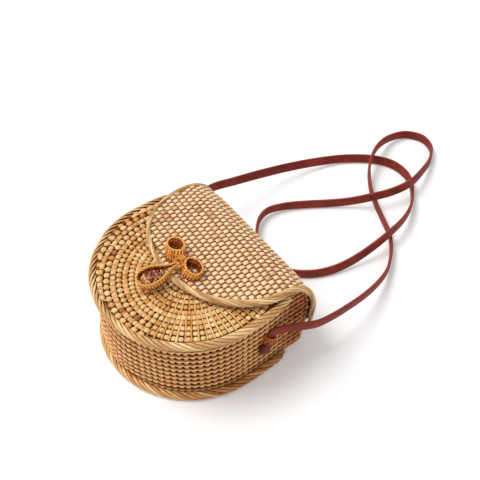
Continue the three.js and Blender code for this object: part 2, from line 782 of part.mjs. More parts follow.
// One ring at each chosen point, and one half way where two points are far apart
const strapAt = [];
for (let i = 0; i < strapPoints.length - 1; i += 1) {
  strapAt.push(i);
  if (strapPoints[i].distanceTo(strapPoints[i + 1]) > 23) {
    strapAt.push(i + 0.5);
  }
}
strapAt.push(strapPoints.length - 1);
const strapRings = strapAt.map((at) => {
  const t = at / (strapPoints.length - 1);
  const along = strapLine.getTangent(t);
  const low = Math.min(Math.floor(at), strapPoints.length - 2);
  const lean = THREE.MathUtils.lerp(strapLean[low], strapLean[low + 1], at - low);
  const wide = upward.clone().addScaledVector(along, -along.z).normalize();
  wide.applyAxisAngle(along, THREE.MathUtils.degToRad(lean));
  const thick = along.clone().cross(wide).normalize();
  return strapRing(strapLine.getPoint(t), wide, thick);
});
add('shoulder_strap', loft(strapRings), 'leather');

// The origin is under the middle of the bag.
for (const mesh of root.children) {
  mesh.geometry.translate(0, shiftY, 0);
}

export default root;
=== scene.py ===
import json
import math
import bpy
import numpy as np
from mathutils import Matrix

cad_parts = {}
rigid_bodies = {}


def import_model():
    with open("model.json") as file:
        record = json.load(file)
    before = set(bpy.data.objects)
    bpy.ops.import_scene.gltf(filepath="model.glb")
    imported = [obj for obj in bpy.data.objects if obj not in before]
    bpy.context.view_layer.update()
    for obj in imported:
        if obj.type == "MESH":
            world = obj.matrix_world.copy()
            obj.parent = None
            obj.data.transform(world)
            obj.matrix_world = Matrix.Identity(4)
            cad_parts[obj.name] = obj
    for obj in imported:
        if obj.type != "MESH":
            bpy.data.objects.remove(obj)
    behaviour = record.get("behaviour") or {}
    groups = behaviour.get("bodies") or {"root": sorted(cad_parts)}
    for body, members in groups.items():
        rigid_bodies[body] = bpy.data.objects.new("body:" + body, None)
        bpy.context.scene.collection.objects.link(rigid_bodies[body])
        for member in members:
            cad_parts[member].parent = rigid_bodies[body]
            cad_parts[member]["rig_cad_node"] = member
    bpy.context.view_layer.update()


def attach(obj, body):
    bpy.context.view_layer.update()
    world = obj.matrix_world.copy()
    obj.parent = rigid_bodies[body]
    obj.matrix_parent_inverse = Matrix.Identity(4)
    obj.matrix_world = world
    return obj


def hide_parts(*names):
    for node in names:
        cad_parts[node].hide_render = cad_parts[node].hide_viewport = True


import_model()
rng = np.random.default_rng(11)

# Sizes of the bag in millimetres, with y from the centre of its round bottom
HALF_WIDTH = 84.0
SIDE_LENGTH = 73.0
SIDE_TAPER = 10.0
RIM = 5.75
BACK_Z = 5.554
FRONT_Z = 84.446
WALL_INSET = 3.0
WEAVE_HALF = 1.8
FLAP_Z = 92.646
FLAP_TOP = FLAP_Z + WEAVE_HALF
FLAP_HALF = 79.2
FLAP_RIM = 4.0
FLAP_ARC = 72.5
FLAP_ARC_Y = 50.0
END_Y = 80.8
HINGE = np.array([0.0, 80.0, 24.088])
BACK_RIM_END = 52.0
FRONT_RIM_END = 54.0
LASH_X = [-60, -30, 0, 30, 60]

TURN = 2 * np.pi

# Steps between points along woven strands and along rims
FINE = 0.46
COARSE = 1.2

SHIFT = np.array([0.0, 2.475, 0.0])
UP = np.array([0.0, 0.0, 1.0])
ACROSS = np.array([1.0, 0.0, 0.0])
ALONG = np.array([0.0, 1.0, 0.0])


def row(points):
    """Millimetres of the bag to metres of the shared frame."""
    return (np.asarray(points, float) + SHIFT) / 1000.0


# Camera, with the directions in the plan that point right in its picture and toward it
AZIMUTH = 55.81
VIEW_RIGHT = np.array([0.562, 0.827, 0.0])
VIEW_NEAR = np.array([0.827, -0.562, 0.0])
camera = bpy.data.objects.new("camera", bpy.data.cameras.new("camera"))
camera.data.lens = 60
camera.data.sensor_width = 36
camera.location = (0.40048, -0.21402, 0.64121)
camera.rotation_euler = (math.radians(40.97), 0, math.radians(AZIMUTH))
bpy.context.collection.objects.link(camera)
bpy.context.scene.camera = camera


# Vectors and lines
def unit(v):
    return v / np.linalg.norm(v, axis=-1, keepdims=True)


def columns(*parts):
    """Points from their coordinates, each an array or a single number."""
    return np.stack(np.broadcast_arrays(*parts), axis=-1).astype(float)


def smooth(x, low, high):
    """Nought below a range and one above it, with an even slope between."""
    t = np.clip((x - low) / (high - low), 0, 1)
    return t * t * (3 - 2 * t)


def power(wave, exponent):
    """A wave made squarer or sharper, with its sign kept."""
    return np.sign(wave) * np.abs(wave) ** exponent


def arc_length(points):
    steps = np.linalg.norm(np.diff(points, axis=0), axis=1)
    return np.concatenate([[0], np.cumsum(steps)])


def along_line(at, far, values):
    """Values at distances along a line, from those at its points."""
    return np.stack([np.interp(at, far, values[:, k]) for k in range(values.shape[1])], axis=-1)


def resample(points, step):
    points = np.asarray(points, float)
    far = arc_length(points)
    count = max(2, int(round(far[-1] / step)) + 1)
    return along_line(np.linspace(0, far[-1], count), far, points)


def heading(path, closed=False):
    if closed:
        return unit(np.roll(path, -1, axis=0) - np.roll(path, 1, axis=0))
    return unit(np.gradient(path, axis=0))


def catmull(points, step):
    """A centripetal curve through the points, with the place among them of each sample."""
    points = np.asarray(points, float)
    points = np.concatenate([2 * points[:1] - points[1:2], points, 2 * points[-1:] - points[-2:-1]])
    line = []
    places = []
    for i in range(len(points) - 3):
        a, b, c, d = points[i:i + 4]
        d0, d1, d2 = (np.linalg.norm(gap) ** 0.5 for gap in (b - a, c - b, d - c))
        m1 = ((b - a) / d0 - (c - a) / (d0 + d1) + (c - b) / d1) * d1
        m2 = ((c - b) / d1 - (d - b) / (d1 + d2) + (d - c) / d2) * d1
        count = max(2, int(np.linalg.norm(c - b) / step))
        t = (np.arange(count) / count)[:, None]
        bend = (2 * b - 2 * c + m1 + m2) * t ** 3 + (3 * c - 3 * b - 2 * m1 - m2) * t ** 2
        line.append(bend + m1 * t + b)
        places.append(i + t[:, 0])
    line.append(points[-2:-1])
    places.append(np.array([len(points) - 3.0]))
    return np.concatenate(line), np.concatenate(places)


# Cross-sections, each turning the same way round
def oval(wide, high, count=6):
    t = TURN * (np.arange(count) + 0.5) / count
    return columns(wide / 2 * np.cos(t), high / 2 * np.sin(t))


def splint(wide, high):
    """A split cane: flat below and domed above."""
    top = [(0.5, 0.0), (0.41, 0.36), (0.22, 0.6), (0.0, 0.67), (-0.22, 0.6), (-0.41, 0.36), (-0.5, 0.0)]
    low = [(-0.36, -0.33), (0.0, -0.33), (0.36, -0.33)]
    return np.array(top + low) * (wide, high)


def per_point(value, shape):
    """A value of a whole strand, of each ring or of each point, spread over all its points."""
    value = np.asarray(value, float)
    return np.broadcast_to(value[:, None] if value.ndim == 1 else value, shape).ravel()


class Bundle:
    """Swept strands gathered into one mesh, with a tone and a depth for their colour; the depth paints shade
    into recesses.
    """

    def __init__(self):
        self.parts = []
        self.total = 0

    def put(self, points, faces, strand, tone, low):
        tone, low = (np.broadcast_to(value, len(points)) for value in (tone, low))
        self.parts.append((points, faces + self.total, strand, tone, low))
        self.total += len(points)

    def rings(self, points, tone, low, closed):
        """A tube through rings of equal point count, with a tone and a depth for each ring or point."""
        n, m = points.shape[:2]
        i = np.arange(n if closed else n - 1)[:, None]
        j = np.arange(m)[None]
        k = (j + 1) % m
        nxt = (i + 1) % n
        quads = np.stack([i * m + j, i * m + k, nxt * m + k, nxt * m + j], axis=-1).reshape(-1, 4)
        if not closed:
            c = np.arange(m // 2 - 1)
            cap = np.stack([c, c + 1, m - 2 - c, m - 1 - c], axis=1)
            quads = np.concatenate([quads, cap[:, ::-1], cap + (n - 1) * m])
        strand = np.empty((n, m, 3))
        strand[..., 0] = arc_length(points.mean(axis=1))[:, None]
        strand[..., 1] = arc_length(points[n // 2])[None]
        strand[..., 2] = rng.uniform(0, 90)
        tone, low = (per_point(value, (n, m)) for value in (tone, low))
        self.put(points.reshape(-1, 3), quads, strand.reshape(-1, 3), tone, low)

    def sweep(self, path, up, section, tone=0.5, low=0.6, closed=False, scale=1.0, edge=0.8):
        """A section drawn along a path; edge says how far its lower points are darkened with painted shade,
        as in a recess.
        """
        path = np.asarray(path, float)
        tangent = heading(path, closed)
        across = unit(np.cross(np.broadcast_to(up, path.shape), tangent))
        lift = np.cross(tangent, across)
        wide = across[:, None] * section[None, :, :1]
        high = lift[:, None] * section[None, :, 1:]
        height = section[:, 1]
        fall = ((height.max() - height) / np.ptp(height)) ** 1.5
        low, edge, scale = (np.broadcast_to(value, len(path))[:, None] for value in (low, edge, scale))
        self.rings(path[:, None] + (wide + high) * scale[..., None], tone, low - edge * fall, closed)

    def make(self, name, body, slot, material, *nodes):
        """The strands as one piece that rides a body and stands for CAD nodes."""
        points, faces, strand, tone, low = map(np.concatenate, zip(*self.parts))
        mesh = bpy.data.meshes.new(name)
        mesh.from_pydata(row(points).tolist(), [], faces.tolist())
        layer = mesh.attributes.new("strand", "FLOAT_VECTOR", "POINT")
        layer.data.foreach_set("vector", strand.astype(np.float32).ravel())
        for key, values in (("tone", tone), ("low", low)):
            layer = mesh.attributes.new(key, "FLOAT", "POINT")
            layer.data.foreach_set("value", values.astype(np.float32))
        mesh.shade_smooth()
        mesh.materials.append(material)
        obj = bpy.data.objects.new(name, mesh)
        bpy.context.collection.objects.link(obj)
        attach(obj, body)
        if nodes:
            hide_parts(*nodes)
        return obj


# Materials
def linear(colour):
    """A colour in 8-bit steps as linear light."""
    parts = [c / 255 for c in colour]
    return tuple(c / 12.92 if c <= 0.04045 else ((c + 0.055) / 1.055) ** 2.4 for c in parts) + (1.0,)


class Paint:
    """A material's node tree with short ways to add and join nodes."""

    def __init__(self, name):
        self.material = bpy.data.materials.new(name)
        self.material.use_nodes = True
        self.tree = self.material.node_tree
        self.shader = self.tree.nodes["Principled BSDF"]

    def fill(self, node, inputs):
        for key, value in inputs.items():
            if isinstance(value, bpy.types.NodeSocket):
                self.tree.links.new(value, node.inputs[key])
            else:
                node.inputs[key].default_value = value

    def add(self, kind, inputs=(), **settings):
        node = self.tree.nodes.new(kind)
        for key, value in settings.items():
            setattr(node, key, value)
        self.fill(node, dict(inputs))
        return node

    def attribute(self, name, output):
        return self.add("ShaderNodeAttribute", attribute_name=name).outputs[output]

    def math(self, operation, a, b):
        return self.add("ShaderNodeMath", {0: a, 1: b}, operation=operation).outputs[0]

    def scaled(self, vector, by):
        return self.add("ShaderNodeVectorMath", {0: vector, 1: by}, operation="MULTIPLY").outputs[0]

    def noise(self, vector, scale, detail=3.0, roughness=0.6):
        inputs = {"Vector": vector, "Scale": scale, "Detail": detail, "Roughness": roughness}
        return self.add("ShaderNodeTexNoise", inputs).outputs[0]

    def spread(self, value, low, high, to_low, to_high):
        inputs = {0: value, 1: low, 2: high, 3: to_low, 4: to_high}
        return self.add("ShaderNodeMapRange", inputs).outputs[0]

    def ramp(self, value, stops):
        node = self.add("ShaderNodeValToRGB", {0: value})
        marks = node.color_ramp.elements
        while len(marks) < len(stops):
            marks.new(0.5)
        for mark, (place, colour) in zip(marks, stops):
            mark.position = place
            mark.color = colour
        return node.outputs[0]

    def mix(self, share, a, b):
        return self.add("ShaderNodeMix", {0: share, 6: a, 7: b}, data_type="RGBA").outputs[2]

    def bump(self, height, strength, distance):
        inputs = {"Height": height, "Strength": strength, "Distance": distance}
        self.fill(self.shader, {"Normal": self.add("ShaderNodeBump", inputs).outputs[0]})

    def surface(self, colour, roughness, specular=0.4):
        inputs = {"Base Color": colour, "Roughness": roughness, "Specular IOR Level": specular}
        self.fill(self.shader, inputs)


def rattan(name, dark, mid, pale, gap, gloss=0.42, streaks=0.14, stains=0.14):
    """Split cane: long fibre streaks, a tone for each strand, stains, and painted shade that turns recesses
    towards the gap colour.
    """
    dark, mid, pale, gap = map(linear, (dark, mid, pale, gap))
    paint = Paint(name)
    strand = paint.attribute("strand", "Vector")
    streak = paint.noise(paint.scaled(strand, (0.12, 2.6, 1.0)), 1.0, 4.0, 0.65)
    stain = paint.noise(paint.scaled(strand, (0.22, 0.5, 1.0)), 1.0, 2.0, 0.5)
    tone = paint.attribute("tone", "Fac")
    value = paint.math("ADD", tone, paint.spread(streak, 0.25, 0.75, -streaks, streaks))
    value = paint.math("ADD", value, paint.spread(stain, 0.25, 0.75, -stains, stains))
    colour = paint.ramp(value, [(0.1, dark), (0.45, mid), (0.8, pale)])
    low = paint.attribute("low", "Fac")
    # Painted shade: the lower the depth, the more the colour turns to the dark gap colour of recesses.
    colour = paint.mix(paint.spread(low, -0.7, 0.45, 0.95, 0.0), colour, gap)
    shine = paint.spread(low, -0.4, 0.6, 0.02, 0.4)
    paint.surface(colour, paint.spread(streak, 0.2, 0.8, gloss - 0.08, gloss + 0.18), shine)
    paint.bump(streak, 0.35, 0.0003)
    return paint.material


# The last colour of each cane is the painted shade of its recesses and gaps.
straw = rattan("straw_weave", (160, 88, 36), (218, 163, 110), (246, 214, 170), (96, 40, 6))
yellow = rattan("front_weave", (150, 78, 16), (211, 149, 74), (248, 208, 150), (88, 36, 2))
brown = rattan("wall_weave", (126, 52, 10), (208, 129, 64), (252, 194, 128), (72, 22, 1))
orange = rattan("woven_band", (130, 42, 6), (206, 108, 32), (248, 182, 92), (66, 18, 3), gloss=0.36)
dark = rattan("button_winding", (84, 26, 10), (142, 66, 34), (236, 170, 114), (44, 12, 4), gloss=0.4)
even = {"streaks": 0.07, "stains": 0.1}
honey = rattan("rim_wrap", (134, 76, 28), (208, 155, 94), (246, 208, 152), (52, 20, 4), **even)
pale_honey = rattan("flap_rim_wrap", (150, 96, 44), (214, 170, 110), (250, 218, 166), (80, 38, 12), **even)
amber = rattan("back_rim_wrap", (132, 60, 12), (210, 146, 80), (250, 208, 150), (56, 18, 2), **even)


def leather(name, low, mid, high):
    """Smooth leather: fine grain, handling marks, and paler worn edges."""
    low, mid, high = map(linear, (low, mid, high))
    paint = Paint(name)
    place_at = paint.add("ShaderNodeTexCoord").outputs["Object"]
    grain = paint.add("ShaderNodeTexVoronoi", {"Vector": place_at, "Scale": 1500.0}).outputs["Distance"]
    marks = paint.noise(place_at, 60.0, 4.0, 0.6)
    fine = paint.noise(place_at, 600.0, 3.0, 0.6)
    patches = paint.spread(marks, 0.3, 0.7, 0.15, 0.75)
    value = paint.math("ADD", patches, paint.spread(fine, 0.3, 0.7, -0.15, 0.15))
    colour = paint.ramp(value, [(0.1, low), (0.5, mid), (0.95, high)])
    worn = paint.spread(paint.attribute("tone", "Fac"), 0.5, 1.0, 0.0, 0.5)
    colour = paint.mix(worn, colour, high)
    paint.surface(colour, paint.spread(marks, 0.3, 0.7, 0.5, 0.66), 0.25)
    paint.bump(paint.math("ADD", grain, fine), 0.25, 0.0002)
    return paint.material


strap_leather = leather("strap_leather", (100, 28, 19), (133, 43, 30), (160, 68, 50))
stop_leather = leather("stop_leather", (76, 22, 18), (106, 36, 30), (136, 58, 46))


def thread(name, low, high):
    paint = Paint(name)
    strand = paint.attribute("strand", "Vector")
    twist = paint.add("ShaderNodeTexWave", {"Vector": strand, "Scale": 1.6, "Distortion": 0.4}).outputs[1]
    paint.surface(paint.ramp(twist, [(0.1, linear(low)), (0.9, linear(high))]), 0.7, 0.25)
    paint.bump(twist, 0.4, 0.0002)
    return paint.material


strap_thread = thread("strap_thread", (66, 24, 20), (116, 54, 44))


def cotton(name, ground, light, print_colour=None):
    """Cotton with its fine weave, plain or printed with broken wavy lines."""
    paint = Paint(name)
    strand = paint.attribute("strand", "Vector")
    weft = paint.noise(paint.scaled(strand, (4.0, 0.8, 1.0)), 1.0, 2.0, 0.5)
    warp = paint.noise(paint.scaled(strand, (0.8, 4.0, 1.0)), 1.0, 2.0, 0.5)
    cloth_weave = paint.math("ADD", weft, warp)
    stops = [(0, linear(ground)), (1, linear(light))]
    colour = paint.ramp(paint.spread(cloth_weave, 0.7, 1.3, 0, 1), stops)
    if print_colour:
        wave = {"Vector": strand, "Scale": 0.07, "Distortion": 5.0, "Detail": 1.0, "Detail Scale": 0.6}
        lines = paint.add("ShaderNodeTexWave", wave, bands_direction="DIAGONAL").outputs[1]
        lines = paint.spread(lines, 0.8, 0.88, 0, 1)
        broken = paint.spread(paint.noise(strand, 0.35, 2.0, 0.5), 0.42, 0.5, 0, 1)
        colour = paint.mix(paint.math("MULTIPLY", lines, broken), colour, linear(print_colour))
    paint.surface(colour, 0.85, 0.2)
    paint.bump(cloth_weave, 0.5, 0.0002)
    return paint.material


lining = cotton("lining_cotton", (22, 26, 44), (40, 46, 70), (214, 214, 220))
# The backing is the cloth's plain reverse; its dark brown is painted shade in the gaps of the weave, where it
# shows through.
backing = cotton("lining_backing", (104, 48, 14), (130, 66, 24))


# Sides of the bag, and the strap's rings on them
RING_Y = 30.5
RING_Z = 43.0
RING_TILT = math.radians(52)


def side_x(y, inset):
    """Half the bag's width at a place along its sides, less an inset."""
    return HALF_WIDTH - inset - SIDE_TAPER * (np.maximum(y, 0) / SIDE_LENGTH) ** 2


def side_slope(y):
    return 2 * SIDE_TAPER * np.maximum(y, 0) / SIDE_LENGTH ** 2


def ring_frame(side):
    """A ring's place on the wall, and the directions along its strap, across it and outward."""
    slope = side_slope(RING_Y)
    out = unit(np.array([side, slope, 0.0]))
    level = unit(np.array([-side * slope, 1.0, 0.0]))
    along = level * math.cos(RING_TILT) + UP * math.sin(RING_TILT)
    across = -level * math.sin(RING_TILT) + UP * math.cos(RING_TILT)
    surface = np.array([side * side_x(RING_Y, WALL_INSET), RING_Y, RING_Z]) + out * WEAVE_HALF
    return surface, along, across, out


def place(ring, along, across, out):
    """A point at distances from a ring's place."""
    return ring[0] + ring[1] * along + ring[2] * across + ring[3] * out


rings = {"right": ring_frame(1), "left": ring_frame(-1)}

# Strap: its way over the floor as points, each with how far the strap leans over there, in degrees
STRAP_WAY = [
    (-88.5, 49, 52, 0), (-97, 66, 48, 0), (-105, 82, 43, -5), (-109.8, 98, 38, -10),
    (-110, 123, 32, -15), (-110, 157, 24, -22), (-108, 197, 15, -25), (-101.3, 235, 8.5, -25),
    (-90.8, 263.7, 5.8, -25), (-73, 288.5, 5.6, -25), (-53.4, 302.5, 5.6, -22), (-33, 304.5, 5.6, -15),
    (-16.9, 298.6, 5.6, -5), (-1.5, 286.5, 5.9, 0), (12.5, 270, 9.5, 0), (24.5, 247.5, 14.5, 5),
    (31.5, 224, 17, 10), (34.5, 199, 14, 15), (33.6, 170, 8, 18), (29.7, 146, 6, 18),
    (21, 126, 5.6, 12), (7, 110, 5.6, 4), (-13, 100, 5.6, 0), (-36, 102.5, 5.6, 0),
    (-55, 114.5, 6.5, 0), (-67.5, 127, 7.5, 0), (-72.5, 141, 7.5, -2), (-69, 159, 6.6, -6),
    (-60, 179, 5.8, -10), (-45, 204.5, 6, -10), (-32.5, 223, 9, -10), (-19.5, 241.5, 16, -12),
    (-12.5, 264, 17, -15), (-10.8, 288.5, 17.6, -15), (-20.3, 317, 13.2, -10), (-34, 343, 7, -5),
    (-49.5, 358.5, 5.6, 0), (-67, 361, 5.6, 8), (-82.5, 349.5, 5.8, 10), (-86.5, 328, 8.5, 5),
    (-78.5, 301.5, 15, 0), (-66, 281, 17, 0), (-55.5, 269, 13, 0), (-43.5, 260.5, 7.5, 0),
    (-31.5, 253.5, 5.6, 0), (-15.5, 246, 5.4, 0), (7, 237, 5.4, 0), (25, 229.5, 5.4, 0),
    (40.5, 219, 5.6, 0), (53.5, 206, 6.6, 0), (65, 190.5, 9.5, 0), (76, 166.5, 17, 0),
    (83.8, 142, 25, 0), (89.5, 115.5, 33, 0), (92.5, 93.5, 38.5, 0), (93.2, 78, 42.5, 0),
    (91.5, 63.6, 48, 0), (88, 50.5, 51.5, 0),
]


def strap_end(ring):
    """The strap's end flat on the wall, as distances along it and off the wall."""
    return [place(ring, along, 0, off) for along, off in ((-3.6, 1.9), (3, 1.9), (9, 2.5))]


strap_points = [np.array(mark[:3]) for mark in STRAP_WAY]
strap_points = strap_end(rings["left"]) + strap_points + strap_end(rings["right"])[::-1]
strap_lean = [0, 0, 0] + [mark[3] for mark in STRAP_WAY] + [0, 0, 0]
strap_line, strap_place = catmull(strap_points, 2.4)
strap_far = arc_length(strap_line)
strap_ahead = heading(strap_line)
lean = np.radians(np.interp(strap_place, np.arange(len(strap_lean)), strap_lean))[:, None]
upright = unit(UP - strap_ahead * strap_ahead[:, 2:])
strap_wide = upright * np.cos(lean) + np.cross(strap_ahead, upright) * np.sin(lean)
strap_face = np.cross(strap_ahead, strap_wide)

# Half the strap's section, with a groove for the stitches near one edge
STRAP_HALF = [(5.0, 0.0), (4.86, 0.75), (4.4, 1.2), (3.9, 1.36), (3.6, 1.12), (3.3, 1.36), (2.7, 1.46),
              (0.0, 1.5), (-3.0, 1.46), (-4.4, 1.2), (-4.86, 0.75)]
strap_section = np.array(STRAP_HALF + [(-5.0, 0.0)] + [(u, -v) for u, v in STRAP_HALF[:0:-1]])
edge_wear = np.where(np.abs(strap_section[:, 0]) > 4.3, 0.9, 0.4)
strap_bundle = Bundle()
strap_bundle.sweep(strap_line, strap_face, strap_section, np.tile(edge_wear, (len(strap_line), 1)))
strap = strap_bundle.make("strap", "bag", "leather", strap_leather, "shoulder_strap")

# Stitches in the groove, on both faces
STITCH_ENDS = 14.0
STITCH_STEP = 3.4
STITCH_LENGTH = 2.5
STITCH_OFF = 3.6
stitches = Bundle()
for start in np.arange(STITCH_ENDS, strap_far[-1] - STITCH_ENDS, STITCH_STEP):
    at = np.linspace(start, start + STITCH_LENGTH, 5)
    middle, wide, face = (along_line(at, strap_far, v) for v in (strap_line, strap_wide, strap_face))
    lift = np.array([1.0, 1.26, 1.32, 1.26, 1.0])[:, None]
    for sign in (1, -1):
        path = middle + unit(wide) * STITCH_OFF + unit(face) * lift * sign
        stitches.sweep(path, face * sign, oval(0.55, 0.5), scale=np.array([0.6, 1, 1, 1, 0.6]))
stitching = stitches.make("strap_stitching", "bag", "leather", strap_thread)


# Weaves: wide splints with a bead at each rise, and thin fibres that pass over them in the dips
BEAD_VARY = 0.09
STAIN = 0.35
WANDER = 0.16
FIBRE = 0.95


def beside(base, out):
    return unit(np.cross(out, np.gradient(base, axis=0)))


def add_ribbon(bundle, base, out, phase, wide, tone, deep, high=1.5, rise=0.7, square=0.6, edge=1.5,
               swell=0.1, stained=0.025):
    """A wide splint, high at each whole turn of the phase; deep and edge darken its dips and its sides with
    painted shade.
    """
    wave = power(np.cos(phase), square)
    _, first, number = np.unique(np.floor(phase / TURN + 0.5), return_index=True, return_inverse=True)
    chance = np.broadcast_to(stained, len(phase))[first]
    bead = rng.normal(0, BEAD_VARY, len(first)) - STAIN * (rng.random(len(first)) < chance)
    wander = WANDER * np.sin(arc_length(base) / 11 + rng.uniform(0, 6))
    path = base + out * (0.1 + rise * wave)[:, None] + beside(base, out) * wander[:, None]
    section = splint(wide * rng.uniform(0.93, 1.05), high)
    tone = tone + rng.normal(0, 0.05) + bead[number]
    size = 1.02 - swell * (1 - wave)
    bundle.sweep(path, out, section, tone, 1 + deep * (wave - 1), scale=size, edge=edge)


def add_fibre(bundle, base, out, phase, shift, tone):
    """A thin fibre beside a line, high where the ribbons of the same phase are low, and darkened with painted
    shade where it dips.
    """
    wave = -np.cos(phase)
    away = shift + 0.06 * np.sin(arc_length(base) / 13 + rng.uniform(0, 6))
    path = base + out * (0.1 + 0.6 * wave)[:, None] + beside(base, out) * away[:, None]
    section = oval(FIBRE * rng.uniform(0.92, 1.04), FIBRE)
    bundle.sweep(path, out, section, tone + rng.normal(0, 0.08), 0.35 + 0.8 * wave, edge=0.7)


def runs(inside):
    """First and last places of each unbroken stretch."""
    edges = np.flatnonzero(np.diff(np.concatenate([[0], inside.astype(int), [0]])))
    return [(a, b) for a, b in zip(edges[::2], edges[1::2]) if b - a > 4]


# Flap: its middle line from the hinge, as distances past its back end and shares of its height
FLAP_MARKS = [(-0.8, 0.26), (-0.35, 0.32), (0.6, 0.433), (0.7, 0.57), (-1.5, 0.692), (-6.2, 0.812),
              (-12.2, 0.905), (-20.4, 0.968), (-29.0, 0.998), (-36.8, 1.003), (-44, 1)]
FLAP_FLAT_END = -24.0
HINGE_GAP = 4.6
flap_curve, _ = catmull([(0, END_Y + y, z * FLAP_Z) for y, z in FLAP_MARKS], 0.5)
flap_curve = resample(np.concatenate([flap_curve, [(0, FLAP_FLAT_END, FLAP_Z)]]), 0.5)
flap_far = arc_length(flap_curve)
flap_dir = heading(flap_curve)
flap_out = columns(0, flap_dir[:, 2], -flap_dir[:, 1])
FLAP_START = np.interp(HINGE_GAP, np.linalg.norm(flap_curve[:40] - HINGE, axis=1), flap_far[:40])
FLAP_STEP = 5.85
FLAP_PITCH = 2.75
FLAP_FIRST = FLAP_START + 1.6
FLAP_SLANT = 0.1
FLAP_SPLINT = 5.15
FLAP_EDGE = 2.4

# The round end of the flap is fuller on its left than on its right.
FLAP_ROUND = {-1: 2.45, 1: 1.9}


def flap_at(t):
    """A point of the flap's middle line and the outward direction there, by distance from the hinge."""
    return along_line(t, flap_far, flap_curve), unit(along_line(t, flap_far, flap_out))


def tilted(points, out, t):
    """The flap's back bend stands out a little on the right, and falls away on the left."""
    x = points[..., 0]
    bend = smooth(t - FLAP_START, 8, 28) * (1 - smooth(t - FLAP_START, 60, 100))
    amount = 1.2 + 2.0 * x / FLAP_HALF - 2.0 * smooth(np.abs(x), 50, 80)
    return points + out * (amount * bend)[..., None]


def flap_far_at(y):
    """Distance from the hinge to a place on the flap's flat part."""
    return np.interp(-y, -flap_curve[100:, 1], flap_far[100:])


def flap_ends(y, inset):
    """The left and right ends of the flap at a place along it, less an inset."""
    t = np.clip((FLAP_ARC_Y - y) / (FLAP_ARC - inset), 0, 1)
    return [side * (FLAP_HALF - inset) * (1 - t ** n) ** (1 / n) for side, n in FLAP_ROUND.items()]


def flap_tip(inset):
    return flap_far_at(FLAP_ARC_Y - FLAP_ARC + inset)


# Ribbons across the flap, and a dark and a pale fibre down it in each pair; the dark one lies on each bead's
# shadow side as painted shadow
flap = Bundle()
for j in range(int((flap_tip(3.2) - FLAP_FIRST) / FLAP_STEP) + 1):
    t = FLAP_FIRST + FLAP_STEP * j
    point, out = flap_at(t)
    left_end, right_end = flap_ends(point[1], FLAP_EDGE)
    if right_end < 6:
        continue
    x = np.arange(left_end, right_end, FINE)
    base = tilted(columns(x, point[1], point[2]), out, t)
    phase = np.pi * ((x + FLAP_SLANT * FLAP_STEP * j) / FLAP_PITCH + j)
    stained = 0.02 + 0.3 * np.exp(-(x - left_end) / 9)
    add_ribbon(flap, base, out, phase, FLAP_SPLINT, 0.85, 1.4, edge=1.1, stained=stained)
for i in range(-27, 34):
    t = np.arange(FLAP_START, flap_far[-1], 1.0)
    base, out = flap_at(t)
    base[:, 0] = i * FLAP_PITCH - FLAP_SLANT * (t - FLAP_FIRST)
    base = tilted(base, out, t)
    phase = np.pi * ((t - FLAP_FIRST) / FLAP_STEP + i)
    left_end, right_end = flap_ends(base[:, 1], FLAP_EDGE)
    for a, b in runs((base[:, 0] > left_end) & (base[:, 0] < right_end)):
        for shift, tone in ((-0.8, 0.14), (0.8, 0.6)):
            add_fibre(flap, base[a:b], out[a:b], phase[a:b], shift, tone)
flap.make("flap_weave", "flap", "straw", straw, "flap_panel")


# Front and back: ribbons round a centre and stakes that spread from it, with more of them farther out
CENTRE = (10.0, -4.0)
RING_FIRST = 3.2
RING_STEP = 5.5
RING_SPLINT = 4.9
STAKE = 1.9

# Where each set of stakes begins and ends, and how many it has
STAKES = [(6.0, 14.0, 14), (14.0, 25.0, 24), (25.0, 41.5, 42), (41.5, 200.0, 70)]


def from_centre(r, angle):
    return CENTRE[0] + r * np.cos(angle), CENTRE[1] + r * np.sin(angle)


def stagger(angle):
    """Nought where every ribbon goes under the stakes, one where only every second ribbon does."""
    return 1 - smooth(np.cos(angle + math.radians(15)), 0.45, 0.85)


def radial_weave(bundle, inside, surface, reach):
    """Ribbons, stakes and a spiral at the centre, where they are inside an outline, on a surface."""
    for begin, end, count in STAKES:
        for ring in range(1, int(reach / RING_STEP) + 1):
            r = RING_FIRST + RING_STEP * ring
            if not begin <= r < end:
                continue
            angle = np.arange(0, TURN, FINE / r)
            x, y = from_centre(r, angle)
            phase = angle * count + np.pi * (1 + ring % 2 * stagger(angle))
            keep_at = inside(x, y)
            keep_at[-1] = False
            for a, b in runs(keep_at):
                base, out = surface(x[a:b], y[a:b])
                loose = stagger(angle[a:b])
                # Ribbons get painted shade in their dips and along their sides, less where they stagger.
                add_ribbon(bundle, base, out, phase[a:b], RING_SPLINT, 0.62, 1.4 - 0.55 * loose, high=1.8,
                           rise=0.65, square=0.7, edge=2.3 - 0.9 * loose, swell=0.02)
        for i in range(count):
            r = np.arange(begin - 0.8, min(end + 0.8, reach), 1.0)
            way = TURN * i / count + 0.5 / r * np.sin(r / 9 + rng.uniform(0, 6))
            x, y = from_centre(r, way)
            turn = np.pi * (r - RING_FIRST) / RING_STEP
            over = stagger(TURN * i / count)
            ripple = (1 - over) * (0.85 + 0.2 * np.cos(2 * turn)) + over * (0.1 + 0.8 * np.cos(turn))
            for a, b in runs(inside(x, y))[:1]:
                base, out = surface(x[a:b], y[a:b])
                path = base + out * ripple[a:b, None]
                section = splint(STAKE * rng.uniform(0.9, 1.08), 1.0)
                # Stakes are darkened along their sides as painted shade.
                bundle.sweep(path, out, section, rng.normal(0.5, 0.12), 0.5, edge=1.6)
    spiral = np.arange(0.4, 4.4, 0.02)
    base, out = surface(*from_centre(spiral, TURN * spiral / 1.35))
    bundle.sweep(base + out * 0.9, out, splint(1.3, 0.8), 0.55)


def in_body(x, y, inset):
    round_end = np.hypot(x, y) <= HALF_WIDTH - inset
    return np.where(y < 0, round_end, np.abs(x) <= side_x(y, inset))


